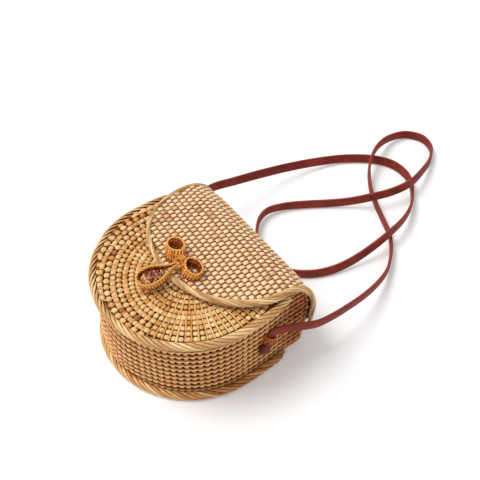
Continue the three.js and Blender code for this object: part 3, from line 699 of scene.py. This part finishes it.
def outline(inset, end, step=0.5):
    """The bag's outline from its right end round the bottom to its left end, with outward directions."""
    y = np.arange(end, 0, -step)
    right = columns(side_x(y, inset), y, 0)
    t = np.arange(0, -np.pi, -step / HALF_WIDTH)
    arc = columns(np.cos(t), np.sin(t), 0) * (HALF_WIDTH - inset)
    left = right[::-1] * (-1, 1, 1)
    line = np.concatenate([right, arc, left])
    ahead = heading(line)
    return line, columns(-ahead[:, 1], ahead[:, 0], 0)


FRONT_WEAVE_END = 48.6
FRONT_REACH = 104.0
EDGE_BEAD = 4.2


def near_side(x, y):
    """One on the side of the round bottom that faces the viewer, nought on the other sides."""
    return smooth((VIEW_NEAR[0] * x + VIEW_NEAR[1] * y) / np.maximum(np.hypot(x, y), 1), 0.1, 0.7)


def front_inside(x, y):
    return in_body(x, y, 2.2 - 1.2 * near_side(x, y) + 2.4 * smooth(y, 10, 40)) & (y < FRONT_WEAVE_END)


def front_surface(x, y):
    return columns(x, y, FRONT_Z), UP


# The front's weave, with a strand along its border, dark as painted shade under the rim, and a row of beads
# on its far left edge
front = Bundle()
radial_weave(front, front_inside, front_surface, FRONT_REACH)
border, border_out = outline(2.4, 47.0, COARSE)
border = border - border_out * (1.6 * smooth(border[:, 1], 10, 40))[:, None]
border_z = FRONT_Z + 0.2 - 1.5 * near_side(border[:, 0], border[:, 1])
front.sweep(border + UP * border_z[:, None], UP, oval(4.4, 2.0, 8), 0.15, -0.2)
far_side = near_side(border[:, 0], border[:, 1]) < 0.3
edge_row = resample((border - border_out * 0.8)[far_side & (border[:, 0] < 0)], FINE) + UP * FRONT_Z
edge_phase = np.pi * arc_length(edge_row) / EDGE_BEAD
add_ribbon(front, edge_row, UP, edge_phase, 3.6, 0.6, 1.5, high=1.7, rise=0.5)
front.make("front_weave", "bag", "straw", yellow, "front_panel")

# The back's mouth end is bent up as a lip, which carries the hinge.
LIP_HALF = 67.7
LIP_TURN = 9.0
LIP_Y = 79.8
LIP_BEND = LIP_Y - LIP_TURN
LIP_END = 21.588
BACK_FLAT_END = 89.0
BACK_REACH = 126.0


def back_inside(x, y):
    narrow = np.abs(x) <= LIP_HALF
    return np.where(y < BACK_RIM_END, in_body(x, y, 4.6), narrow) & (y < BACK_FLAT_END)


def back_surface(x, y):
    """The back's flat shape bent up at its mouth end."""
    angle = np.clip((y - LIP_BEND) / LIP_TURN, 0, np.pi / 2)
    rise = np.maximum(y - LIP_BEND - LIP_TURN * np.pi / 2, 0)
    py = np.minimum(y, LIP_BEND) + LIP_TURN * np.sin(angle)
    pz = BACK_Z + LIP_TURN * (1 - np.cos(angle)) + rise
    return columns(x, py, pz), columns(0, np.sin(angle), -np.cos(angle))


back = Bundle()
radial_weave(back, back_inside, back_surface, BACK_REACH)
stops = [-LIP_HALF] + [x + s for x in LASH_X for s in (-2.2, 2.2)] + [LIP_HALF]
for a, b in zip(stops[::2], stops[1::2]):
    for z, y in ((LIP_END - 2.1, LIP_Y - 0.9), (LIP_END - 2.1, LIP_Y + 0.9), (LIP_END - 0.9, LIP_Y)):
        back.sweep(columns(np.linspace(a, b, 12), y, z), UP, oval(1.7, 1.7, 8))
border, _ = outline(4.4, BACK_RIM_END, COARSE)
# A dark strand along the back rim's inner edge, painted as the shade there.
back.sweep(border + UP * (BACK_Z + 0.8), UP, oval(4.4, 2.4, 8), 0.1, -0.6)
for sign in (-1, 1):
    y = np.linspace(BACK_RIM_END + 1, BACK_FLAT_END, 40)
    base, out = back_surface(np.full(40, sign * LIP_HALF), y)
    back.sweep(base, out, oval(1.8, 2.6, 8))
back.make("back_weave", "bag", "straw", yellow, "back_panel")


# Wall: pairs of strands twined round uprights, with rounded ears at the mouth
WALL_STEP = 6.07
WALL_ROW = 6.8
WALL_BASE = 12.9
WALL_FOOT = 1.9
UPRIGHT = 3.9
TWINE = 2.8

# Each ear's end, the height of its nose, and how steeply it falls back above and below
EARS = {-1: (77.2, 39.8, 11.0, 20.0), 1: (78.2, 46.0, 11.5, 16.5)}


def dip(y):
    """How far the front rim has come down towards the mouth, from nought to one."""
    return smooth(y, 20, FRONT_RIM_END - 4)


def wall_edges(points):
    """Heights of the wall's bottom and top, which the ears round off."""
    end, nose, above, below = (np.where(points[:, 0] > 0, r, l) for r, l in zip(EARS[1], EARS[-1]))
    drop = np.sqrt(np.maximum(end - points[:, 1], 0))
    low = dip(points[:, 1])
    top = FRONT_Z - 2.2 * low - (RIM - 2 * low) + 1.8
    return np.maximum(WALL_FOOT, nose - below * drop), np.minimum(top, nose + above * drop)


wall_line, wall_out = outline(WALL_INSET, EARS[1][0] - 0.4)
wall_far = arc_length(wall_line)
wall = Bundle()
middle_far = wall_far[-1] / 2


def belly(points, out):
    """The wall stands out over the back rim on the left of the round bottom, and at its right ear."""
    leftward = smooth(-out @ VIEW_RIGHT, 0.35, 0.85)
    z = points[:, 2]
    bulge = 4.0 * leftward * smooth(z, 5, 14) * (1 - smooth(z, 30, 72))
    flare = 4.0 * smooth(points[:, 1], 45, 76) * (points[:, 0] > 0)
    return points + out * (bulge + flare)[:, None]


def twine(z, first, last):
    """Two strands that swap sides of the uprights, one over each in turn."""
    line = wall_line[first:last:2]
    out = wall_out[first:last:2]
    turn = np.pi * (wall_far[first:last:2] - middle_far) / WALL_STEP
    for half in (0, np.pi):
        wave = np.cos(turn + half)
        rise = -0.5 * np.sin(turn + half)
        path = belly(line + UP * (z + rise)[:, None] + out * wave[:, None], out)
        # Painted shade: the strands darken behind the uprights, and towards the ears as the flap's shadow.
        tone = rng.normal(0.85, 0.08) - 0.42 * smooth(line[:, 1], 36, 66)
        wall.sweep(path, out, oval(TWINE, 1.4, 8), tone, 0.7 * wave - 0.1, edge=0.9)


def column(u, below, above, back):
    """Points up the wall, short of its edges and set back, with the outward direction."""
    point = along_line(u, wall_far, wall_line)
    (bottom,), (top,) = wall_edges(point[None])
    z = np.linspace(bottom + below, top - above, 24)[:, None]
    out = unit(along_line(u, wall_far, wall_out))
    return belly(point + UP * z - out * back, out), out


# Uprights, inner strands behind the gaps of the ears, borders, twined rows, and the ears' edges; the inner
# strands and borders are painted dark as shade
places = middle_far + WALL_STEP * np.arange(-36, 37)
for u in places[(places > 1.5) & (places < wall_far[-1] - 1.5)]:
    base, out = column(u, 0.3, 0.2, 0.25)
    if base[-1, 2] - base[0, 2] > 4:
        wall.sweep(base, out, splint(UPRIGHT * rng.uniform(0.94, 1.06), 1.1), rng.normal(0.42, 0.1), 0.2)
places = middle_far + WALL_STEP * (np.arange(-36, 37) + 0.5)
for u in places[(places > 1.5) & (places < wall_far[-1] - 1.5)]:
    # Dark strands behind the ears' gaps, as painted shade inside the bag.
    if 40 < np.interp(u, wall_far, wall_line[:, 1]) < 76:
        wall.sweep(*column(u, 1.5, 1.5, 1.5), splint(4.4, 0.9), 0.15, -0.35)
border = wall_line[wall_line[:, 1] < BACK_RIM_END][::2]
border_out = wall_out[wall_line[:, 1] < BACK_RIM_END][::2]
bottom, top = wall_edges(border)
# Dark strands along the wall's top and bottom edges, painted as the shade where the rims meet it.
for height in (top + 0.9, bottom + 1.2):
    wall.sweep(border + UP * height[:, None], border_out, oval(3.0, 3.2, 8), 0.15, -0.3)
bottom, top = wall_edges(wall_line)
for k in range(-1, 11):
    z = WALL_BASE + WALL_ROW * k
    for a, b in runs((bottom < z - 0.6) & (z + 0.6 < top)):
        twine(z, a, b)
for side in (-1, 1):
    y = EARS[side][0] - np.linspace(0, 1, 30) ** 2 * 24
    line = columns(side * side_x(y, WALL_INSET), y, 0)
    below, above = (line + UP * height[:, None] for height in wall_edges(line))
    edge_line = resample(np.concatenate([above[::-1], below[1:]]), COARSE)
    face = unit(columns(side, side_slope(edge_line[:, 1]), 0))
    wall.sweep(belly(edge_line, face), face, oval(2.0, 3.0, 8), 0.45)
wall.make("wall_weave", "bag", "brown", brown, "gusset_wall")


# Rims: strands laid slantwise round a core painted dark as the shade between them, thinner where they go in
# at the panel
def wrap(node, body, material, path, out, up, radius, count, lay, inner=0.6, vary=0.11, shade=0.55,
         open_up=0.0):
    """A rim's strands round its path; where they open up, their gaps show the core's painted shade and their
    lower sides get more of it.
    """
    bundle = Bundle()
    far = arc_length(path)
    radius, open_up = (np.broadcast_to(v, len(path)) for v in (radius, open_up))
    bundle.sweep(path, up, oval(2, 2, 12), 0.1, -0.9, scale=radius - 1.2)
    circle = TURN * radius.max()
    wide = 0.86 * circle / count * math.cos(math.atan2(circle, lay))
    for k in range(count):
        angle = TURN * (k / count - far / lay)
        spoke = out * np.cos(angle)[:, None] + up * np.sin(angle)[:, None]
        inside = smooth(-np.cos(angle), -0.1, 0.65)
        depth = radius - 0.78 + rng.uniform(-0.1, 0.1) - 0.5 * inner * inside
        size = radius / radius.max() * (1 - inner * inside) * (1 - 0.42 * open_up)
        tone = np.clip(shade + rng.normal(0, vary), 0.0, 0.9)
        edge = 1.3 + 0.8 * open_up
        strand = path + spoke * depth[:, None]
        bundle.sweep(strand, spoke, splint(wide, 1.35), tone, 0.55, scale=size, edge=edge)
    bundle.make(f"{node}_wrap", body, "honey", material, node)


RIM_WRAP = 4.1
front_path, front_out = (line[::-1] for line in outline(0.0, FRONT_RIM_END, COARSE))
front_dip = dip(front_path[:, 1])
front_rise = FRONT_Z - 1.2 - 1.2 * front_dip
front_path = front_path + UP * front_rise[:, None] + front_out * (1.4 * (1 - front_dip))[:, None]
facing = near_side(front_path[:, 0], front_path[:, 1])
# On the far side the strands open up, to show more painted shade between them.
wrap("front_rim", "bag", honey, front_path, front_out, UP, RIM_WRAP - 0.5 * front_dip, 7, 52,
     inner=0.45 + 0.15 * facing, vary=0.14, shade=0.54, open_up=0.4 - 0.4 * facing)

back_path, back_out = (line[::-1] for line in outline(-1.7, BACK_RIM_END - 0.5, COARSE))
back_far = arc_length(back_path)
tuck = 1 - smooth(np.minimum(back_far, back_far[-1] - back_far), 0, 9)
back_size = RIM_WRAP - 1.2 * tuck
back_path = back_path + UP * (back_size + 0.35)[:, None] - back_out * (2.0 * tuck)[:, None]
# Painted shade: the back rim darkens towards its right end.
right_end_shade = 0.6 - 0.26 * smooth(np.linspace(0, 1, len(back_path)), 0.62, 0.86)
wrap("back_rim", "bag", amber, back_path, back_out, UP, back_size, 7, 50, shade=right_end_shade)

MOUTH_HALF = 74.2
MOUTH_Y = 51.0
MOUTH_Z = 83.35
mouth_path = columns(np.arange(-MOUTH_HALF, MOUTH_HALF + 0.1, COARSE), MOUTH_Y, MOUTH_Z)
wrap("mouth_rim", "bag", honey, mouth_path, ALONG, UP, 3.0, 9, 40)


def flap_edge(side):
    """The flap's edge on one side, from the hinge to the tip, with the flap's outward directions."""
    straight = np.arange(FLAP_START - 3.0, flap_far_at(FLAP_ARC_Y), 1.0)
    angle = np.arange(0.012, np.pi / 2, 0.012)
    bow_x, bow_y = (wave ** (2 / FLAP_ROUND[side]) for wave in (np.cos(angle), np.sin(angle)))
    t = np.concatenate([straight, flap_far_at(FLAP_ARC_Y - FLAP_ARC * bow_y)])
    points, out = flap_at(t)
    points[:, 0] = side * FLAP_HALF * np.concatenate([np.ones(len(straight)), bow_x])
    return np.concatenate([tilted(points, out, t), out], axis=1)


# The flap's rim is thin on the left and full towards the right of its round end.
FLAP_RIM_PLACES = [0, 0.1, 0.3, 0.5, 0.75, 0.92, 1]
FLAP_RIM_SHARES = [0.5, 0.55, 0.57, 0.73, 0.86, 0.68, 0.58]
both = resample(np.concatenate([flap_edge(1), flap_edge(-1)[::-1]]), COARSE)
flap_path = both[::-1, :3]
ahead = heading(flap_path)
flap_side = unit(np.cross(ahead, both[::-1, 3:]))
flap_lift = np.cross(flap_side, ahead)
flap_share = np.linspace(0, 1, len(flap_path))
flap_size = FLAP_RIM * np.interp(flap_share, FLAP_RIM_PLACES, FLAP_RIM_SHARES)
wrap("flap_rim", "flap", pale_honey, flap_path, flap_side, flap_lift, flap_size, 8, 62, inner=0.2, shade=0.48)


# Woven bands on edge: a core, a twisted cord on each edge, wraps, and strands woven through them
BAND_PITCH = 2.7


def band(name, body, node, path, up, thick, high, closed=True, shade=0.66):
    bundle = Bundle()
    high = np.broadcast_to(high, len(path))
    up = np.broadcast_to(up, path.shape)
    face = unit(np.cross(heading(path, closed), up))
    face = face * np.sign(np.sum(face * (path - path.mean(axis=0))))
    far = arc_length(np.concatenate([path, path[:1]]) if closed else path)
    total = far[-1]
    far = far[:len(path)]
    corners = [(1, 1), (-1, 1), (-1, -1), (1, -1)]
    core = [path + face * a * thick * 0.2 + up * (b * 0.42 * high)[:, None] for a, b in corners]
    # A core painted dark as the shade between the wraps.
    bundle.rings(np.stack(core, axis=1), 0.1, -0.7, closed)
    twist = max(4, round(total / 6.5))
    for side in (-1, 1):
        for ply in (0, 1):
            angle = TURN * twist * far / total + np.pi * ply
            spoke = face * np.cos(angle)[:, None] + up * np.sin(angle)[:, None]
            cord = path + up * (side * (high / 2 - 0.9))[:, None] + spoke * 0.5
            # The lower cord is painted dark as the shade under the band.
            bundle.sweep(cord, spoke, oval(1.2, 1.2), shade + 0.15 if side > 0 else 0.25, 0.7, closed)
    count = 2 * round(total / BAND_PITCH / 2)
    turn = np.linspace(0, TURN, 17)[:-1]
    across = power(np.cos(turn), 0.4) * thick * 0.36
    inner = smooth(-np.cos(turn), -0.3, 0.3)
    for s in (np.arange(count) + 0.5) * total / count:
        middle, out, lift = (along_line(s, far, a) for a in (path, face, up))
        rise = np.sin(turn) * (np.interp(s, far, high) / 2 - 1.45)
        loop = middle + out * across[:, None] + lift * rise[:, None]
        outward = unit(loop - middle - lift * (rise * 0.8)[:, None])
        # Wraps are painted darker on the band's inner side, as shade.
        tone = rng.normal(shade, 0.14) - 0.45 * inner
        bundle.sweep(loop, outward, splint(BAND_PITCH * 0.74, 0.75), tone, 0.6 - 0.5 * inner, True)
    fine = np.arange(0, total, 0.4)
    middle, out = (along_line(fine, far, a) for a in (path, face))
    wave = np.cos(np.pi * (fine * count / total - 0.5))
    for side in (-1, 1):
        shift = out * (side * thick * 0.46 + wave * 0.3)[:, None]
        shift = shift + along_line(fine, far, up) * (0.1 * np.interp(fine, far, high))[:, None]
        # The inner woven strand is painted dark as shade on the band's inner side.
        tone = shade - 0.1 if side > 0 else 0.2
        bundle.sweep(middle + shift, out * side, oval(1.9, 0.7), tone, 0.3 + 0.3 * side * wave, closed)
    bundle.make(name, body, "orange", orange, node)


# Bow: two loops of band, each leaning its own way
BOW_Y = -2.8
BOW_LOW = FLAP_TOP + 0.3
BOW_RISE = 8.6
for name, side, lean_to in (("left", -1, (-7.0, 6.4)), ("right", 1, (0.4, 5.6))):
    t = np.linspace(0, TURN, 97)[:-1]
    share = (1 - np.cos(t)) / 2
    top = BOW_LOW + 9.0 - 2.4 * share
    wide = 7.4 * np.sin(t) * (0.8 + 0.2 * np.sin(t / 2))
    path = columns(side * (6.1 + 18.8 * share), BOW_Y + wide, top)
    leaning = np.array([*lean_to, BOW_RISE])
    high = (top - BOW_LOW) * np.linalg.norm(leaning) / BOW_RISE
    path = path - unit(leaning) * (high / 2)[:, None]
    band(f"bow_band_{name}", "flap", f"bow_loop_{name}", path, unit(leaning), 2.6, high)

# Closure loop: narrow and low at its neck, and skewed a little to the left
PIVOT = np.array([4.6, -14.127, 100.661])
LOOP_LENGTH = 37.5
LOOP_HALF = 9.45
LOOP_NECK = 1.45
LOOP_BAND = 1.9
SKEW = math.tan(math.radians(9))
LOOP_FALL = math.radians(12)
loop_along = np.array([-SKEW, -math.cos(LOOP_FALL), -math.sin(LOOP_FALL)])
loop_high = np.array([0, -math.sin(LOOP_FALL), math.cos(LOOP_FALL)])
round_start = LOOP_LENGTH - LOOP_HALF - LOOP_BAND / 2
v = np.linspace(0, round_start, 40)
half = LOOP_NECK + (LOOP_HALF - LOOP_NECK) * smooth(v, 1, 0.62 * LOOP_LENGTH)
t = np.linspace(0, np.pi / 2, 24)[1:]
edge_x = np.concatenate([[0, 0.75 * LOOP_NECK], half, LOOP_HALF * np.cos(t)])
edge_v = np.concatenate([[-1.65, -1.24], v, round_start + LOOP_HALF * np.sin(t)])
flat = columns(edge_x, edge_v)
flat = np.concatenate([flat, (flat[1:-1] * (-1, 1))[::-1], flat[:1]])
flat = resample(flat, 0.6)[:-1]
loop_path = PIVOT + flat[:, :1] * ACROSS + flat[:, 1:] * loop_along
loop_size = 4.6 + 3.4 * smooth(flat[:, 1], 2, 22)
band("closure_band", "loop", "closure_loop", loop_path, loop_high, LOOP_BAND, loop_size, shade=0.8)


# Knot: splints wound round a core, and eyes of cord round the loop's peg
def wound(bundle, middle, a, b, section, square, tone, count=40):
    """A closed splint round two axes, squarer than an oval where square is below one."""
    t = np.linspace(0, TURN, count + 1)[:-1]
    path = middle + power(np.cos(t), square)[:, None] * a + power(np.sin(t), square)[:, None] * b
    bundle.sweep(path, unit(path - middle), section, tone, 0.6, True)


def ellipsoid(bundle, middle, half, fullness):
    """A core to wind splints on, painted dark as the shade between them."""
    t = np.linspace(0.08, np.pi - 0.08, 12)
    path = columns(0, 0, -np.cos(t)) * half + middle
    section = oval(2 * half[0], 2 * half[1], 20)
    bundle.sweep(path, ALONG, section, 0.1, -0.5, scale=np.sin(t) ** fullness)


# The eyes' places along the loop's peg, and the bar that ties them to the knot, in the plan
KNOT_EYES = (-0.35, 0.6, 8.6, 9.5)
KNOT_BAR = [(1.0, -8.2), (4.0, -8.4), (7.0, -8.7), (9.5, -9.4), (9.4, -10.4), (7.6, -9.8), (4.4, -9.4),
            (1.0, -9.2)]
knot = Bundle()
knot_middle = np.array([0.0, -5.0, BOW_LOW + 3.2])
ellipsoid(knot, knot_middle, np.array([4.0, 4.6, 2.8]), 0.8)
for x in np.linspace(-3.2, 3.2, 6):
    size = math.sqrt(1 - (x / 5.5) ** 2)
    middle = knot_middle + np.array([x, 0, 0])
    lean_side = np.array([0.25 * x, 4.8 * size, 0])
    wound(knot, middle, lean_side, 3.0 * size * UP, splint(1.1, 0.9), 0.8, rng.normal(0.3, 0.2))
for y in np.linspace(-3.6, 3.6, 6):
    size = math.sqrt(1 - (y / 6.5) ** 2)
    middle = knot_middle + np.array([0, y, 0])
    sideways = np.array([4.3 * size, 0.5, 0])
    wound(knot, middle, sideways, 3.2 * size * UP, splint(1.0, 0.9), 0.8, rng.normal(0.4, 0.25))
for x in KNOT_EYES:
    middle = np.array([x, (PIVOT[1] - 8.4) / 2 - 0.5, PIVOT[2] - 0.6])
    long_way = np.array([0, 3.0, -0.5])
    wound(knot, middle, long_way, 1.75 * UP, oval(1.0, 1.0, 8), 0.7, 0.6)
for z in (-1.6, -0.4, 0.8):
    path = np.array([(x, y, PIVOT[2] - 1.2 + z) for x, y in KNOT_BAR])
    knot.sweep(path, UP, oval(0.9, 1.1, 8), 0.5, 0.5, True)
knot.make("bow_knot_winding", "flap", "orange", orange, "bow_knot")


# Button: splints wound every way round a ball
BUTTON = np.array([0.894, -37.016, 93.1])
BUTTON_HALF = np.array([8.0, 9.0, 4.7])
BUTTON_TURNS = 44
BUTTON_TONES = [0.1, 0.25, 0.4, 0.6, 0.9]
button = Bundle()
draw = np.random.default_rng(5)
lean_over = np.array([[1, 0, 0], [SKEW, 1, 0], [0, 0, 1]])
ellipsoid(button, BUTTON, BUTTON_HALF * 0.9, 0.9)
for k in range(BUTTON_TURNS):
    axis = unit(draw.normal(size=3) * (1, 1, 0.7))
    first = unit(np.cross(axis, draw.normal(size=3)))
    second = np.cross(axis, first)
    offset = draw.uniform(-0.6, 0.6)
    t = np.linspace(0, TURN, 49)[:-1]
    circle = math.sqrt(1 - offset ** 2)
    ball = axis * offset + circle * (first * np.cos(t)[:, None] + second * np.sin(t)[:, None])
    ball = ball * (1 + 0.1 * np.abs(ball[:, 2:] * np.hypot(ball[:, :1], ball[:, 1:2])))
    layer = 0.95 + 0.08 * k / BUTTON_TURNS + 0.02 * np.sin(5 * t + k)
    path = BUTTON + ((ball * BUTTON_HALF) @ lean_over) * layer[:, None]
    tone = draw.choice(BUTTON_TONES)
    button.sweep(path, unit(ball / BUTTON_HALF), splint(1.35, 0.7), tone, 0.6, True)
button.make("button_winding", "bag", "dark", dark, "button_ball")


# Strap rings, each an arch across the strap, and leather stops at the strap's ends
HALF_ARCH = [(6.5, -1.2), (6.5, 3.1), (5.8, 4.6), (4.3, 5.3)]
ARCH = [(-across, off) for across, off in HALF_ARCH] + HALF_ARCH[::-1]
STOP_START = -14.9
STOP_LENGTH = 11.0
for name, ring in rings.items():
    path, _ = catmull([place(ring, 0, across, off) for across, off in ARCH], 0.5)
    path = resample(path, 0.6)
    band(f"strap_ring_band_{name}", "bag", f"strap_ring_{name}", path, ring[1], 2.2, 7.0,
         closed=False, shade=0.4)
    stop = Bundle()
    t = np.linspace(0, 1, 18)
    grow = np.interp(t, [0, 0.06, 0.16, 0.34, 0.8, 0.94, 1], [0.55, 0.8, 0.93, 1, 1, 0.93, 0.8])
    path = np.array([place(ring, STOP_START + STOP_LENGTH * a, 0, 3.1) for a in t])
    turn = TURN * (np.arange(24) + 0.5) / 24
    section = columns(6.2 * power(np.cos(turn), 0.5), 2.7 * power(np.sin(turn), 0.6))
    stop.sweep(path, ring[3], section, 0.4, scale=grow)
    stop.make(f"strap_stop_leather_{name}", "bag", "leather", stop_leather, f"strap_stop_{name}")


# Hinge: a jointed cane and its lashings
CANE_HALF = 73.5
cane = Bundle()
x = np.arange(-CANE_HALF, CANE_HALF + 0.1, 1.0)
joint = np.exp(-(((x + 200) % 49 - 24) / 1.1) ** 2)
path = columns(x, HINGE[1], HINGE[2])
cane.sweep(path, UP, oval(2, 2, 14), 0.55, 0.5 - 0.8 * joint, scale=2.02 + 0.15 * joint, edge=0.0)
cane.make("hinge_cane_jointed", "bag", "honey", honey, "hinge_cane")
for i, x in enumerate(LASH_X):
    lash = Bundle()
    for shift, tone in ((-0.62, 0.4), (0.0, 0.6), (0.62, 0.5)):
        middle = HINGE + np.array([x + shift, 0, 0])
        wound(lash, middle, np.array([0, 3.1, 0]), 3.1 * UP, oval(0.6, 1.3), 1.0, tone, 36)
    lash.make(f"hinge_lash_{i + 1}", "flap", "brown", brown, f"hinge_lashing_{i + 1}")


# Linings, as thin cloth with a printed face and a plain backing, whose dark brown is painted shade seen
# through the weave's gaps
CLOTH = 0.5


def cloth(name, grid, out, body, printed, node):
    """A closed sheet from a grid of points and the direction of its thickness at each."""
    n, m = grid.shape[:2]
    both = np.concatenate([(grid + sign * out * CLOTH / 2).reshape(-1, 3) for sign in (1, -1)])
    i = np.arange(n - 1)[:, None]
    j = np.arange(m - 1)[None]
    a = i * m + j
    top = np.stack([a, a + m, a + m + 1, a + 1], axis=-1).reshape(-1, 4)
    size = n * m
    rim = np.concatenate([np.arange(m), m - 1 + m * np.arange(1, n), (n - 1) * m + np.arange(m - 2, -1, -1),
                          m * np.arange(n - 2, 0, -1)])
    nxt = np.roll(rim, -1)
    side = np.stack([rim, nxt, nxt + size, rim + size], axis=1)
    faces = np.concatenate([top, top[:, ::-1] + size, side])
    strand = np.zeros((n, m, 3))
    widths = np.array([arc_length(line)[-1] for line in grid])
    strand[..., 0] = np.linspace(-0.5, 0.5, m)[None] * widths[:, None]
    strand[..., 1] = arc_length(grid[:, m // 2])[:, None]
    sheet = Bundle()
    sheet.put(both, faces, np.tile(strand.reshape(-1, 3), (2, 1)), 0.5, 0.0)
    obj = sheet.make(name, body, "navy", lining, node)
    obj.data.materials.append(backing)
    plain = np.zeros(len(faces), dtype=np.int32)
    first = len(top) if printed > 0 else 0
    plain[first:first + len(top)] = 1
    obj.data.polygons.foreach_set("material_index", plain)
    return obj


# The flap's lining, with corners that reach down beside the hinge
t = np.arange(FLAP_START - 0.6, flap_tip(4.8), 1.5)
middle, _ = flap_at(t)
left_end, right_end = flap_ends(middle[:, 1], 3.7)
across = left_end[:, None] + (right_end - left_end)[:, None] * np.linspace(0, 1, 91)[None]
corner = smooth(np.abs(across), 66, 71) * (1 - smooth(t - t[0], 0, 14))[:, None]
t = t[:, None] - 2.8 * corner
grid, thick_way = (part.reshape(*t.shape, 3) for part in flap_at(t.ravel()))
grid[..., 0] = across
grid = tilted(grid, thick_way, t)
crease = 0.12 * np.sin(grid[..., 0] / 6.5 + t / 11)
grid = grid - thick_way * (2.2 + crease)[..., None]
flap_cloth = cloth("flap_lining_cloth", grid, thick_way, "flap", -1, "flap_lining")

# The body's lining: a back, a wall and a front in one grid
CLOTH_LOW = BACK_Z + 2.5
CLOTH_HIGH = FRONT_Z - 2.5
line, _ = outline(5.2, 46.6, 2.0)
centre = np.array([0.0, 22.0, 0.0])
spread = [centre + (line - centre) * share * (1, 1, 0) for share in np.linspace(0.02, 1, 16)]
rows = [flat + UP * CLOTH_LOW for flat in spread]
rows += [line + UP * z for z in np.linspace(CLOTH_LOW, CLOTH_HIGH, 24)[1:-1]]
rows += [flat + UP * CLOTH_HIGH for flat in spread[::-1]]
grid = np.stack(rows)
inward = unit(np.cross(np.gradient(grid, axis=1), np.gradient(grid, axis=0)))
grid = grid + inward * (0.12 * np.sin(np.arange(grid.shape[1]) / 2.3))[None, :, None]
body_sheet = cloth("body_lining_cloth", grid, inward, "bag", 1, "body_lining")


# Pieces kept from the CAD model, with cane materials
def keep(node, material):
    obj = next(o for o in bpy.data.objects if o.get("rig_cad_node") == node)
    obj.data.materials.clear()
    obj.data.materials.append(material)


def plain_cane(name, low, high):
    paint = Paint(name)
    place_at = paint.add("ShaderNodeTexCoord").outputs["Object"]
    streak = paint.noise(paint.scaled(place_at, (60.0, 900.0, 900.0)), 1.0, 4.0, 0.6)
    colour = paint.ramp(streak, [(0.3, linear(low)), (0.7, linear(high))])
    paint.surface(colour, paint.spread(streak, 0.2, 0.8, 0.38, 0.6))
    paint.bump(streak, 0.4, 0.0002)
    return paint.material


keep("loop_pin", plain_cane("peg_cane", (168, 112, 58), (216, 168, 104)))
keep("button_shank", plain_cane("shank_cane", (84, 48, 36), (130, 84, 60)))


# Floor: pale paper that the camera sees as white, with its shadow at part strength
def paper(name):
    paint = Paint(name)
    grain = paint.noise(paint.add("ShaderNodeTexCoord").outputs["Object"], 40.0, 3.0, 0.5)
    pale = paint.ramp(grain, [(0.3, (0.87, 0.87, 0.87, 1)), (0.7, (0.89, 0.89, 0.89, 1))])
    rays = paint.add("ShaderNodeLightPath").outputs
    seen = paint.math("MAXIMUM", rays["Is Camera Ray"], rays["Is Glossy Ray"])
    seen = paint.math("MAXIMUM", seen, rays["Is Transmission Ray"])
    paint.surface(paint.mix(seen, pale, (1, 1, 1, 1)), 0.9, 0.1)
    glow = paint.add("ShaderNodeEmission", {"Color": (1, 1, 1, 1), "Strength": 1.0}).outputs[0]
    share = paint.math("MULTIPLY", seen, 0.12)
    blend = paint.add("ShaderNodeMixShader", {0: share, 1: paint.shader.outputs[0], 2: glow})
    paint.tree.links.new(blend.outputs[0], paint.tree.nodes["Material Output"].inputs["Surface"])
    return paint.material


floor_mesh = bpy.data.meshes.new("floor")
floor_mesh.from_pydata([(-6, -6, 0), (6, -6, 0), (6, 6, 0), (-6, 6, 0)], [], [(0, 1, 2, 3)])
floor_mesh.materials.append(paper("floor_paper"))
floor = bpy.data.objects.new("floor", floor_mesh)
bpy.context.collection.objects.link(floor)

# Light: an even white surround and a soft sun from the left of the picture
world = bpy.context.scene.world or bpy.data.worlds.new("studio")
bpy.context.scene.world = world
world.use_nodes = True
world.node_tree.nodes["Background"].inputs["Color"].default_value = (1, 1, 1, 1)
world.node_tree.nodes["Background"].inputs["Strength"].default_value = 0.62
sun = bpy.data.objects.new("key", bpy.data.lights.new("key", "SUN"))
sun.data.energy = 2.0
sun.data.angle = math.radians(32)
to_sun = unit(-0.55 * VIEW_RIGHT - 0.14 * VIEW_NEAR + UP)
sun_side = unit(np.cross(UP, to_sun))
axes = columns(sun_side, np.cross(to_sun, sun_side), to_sun)
sun.matrix_world = Matrix(axes.tolist()).to_4x4()
bpy.context.collection.objects.link(sun)
bpy.context.scene.view_settings.view_transform = "Standard"
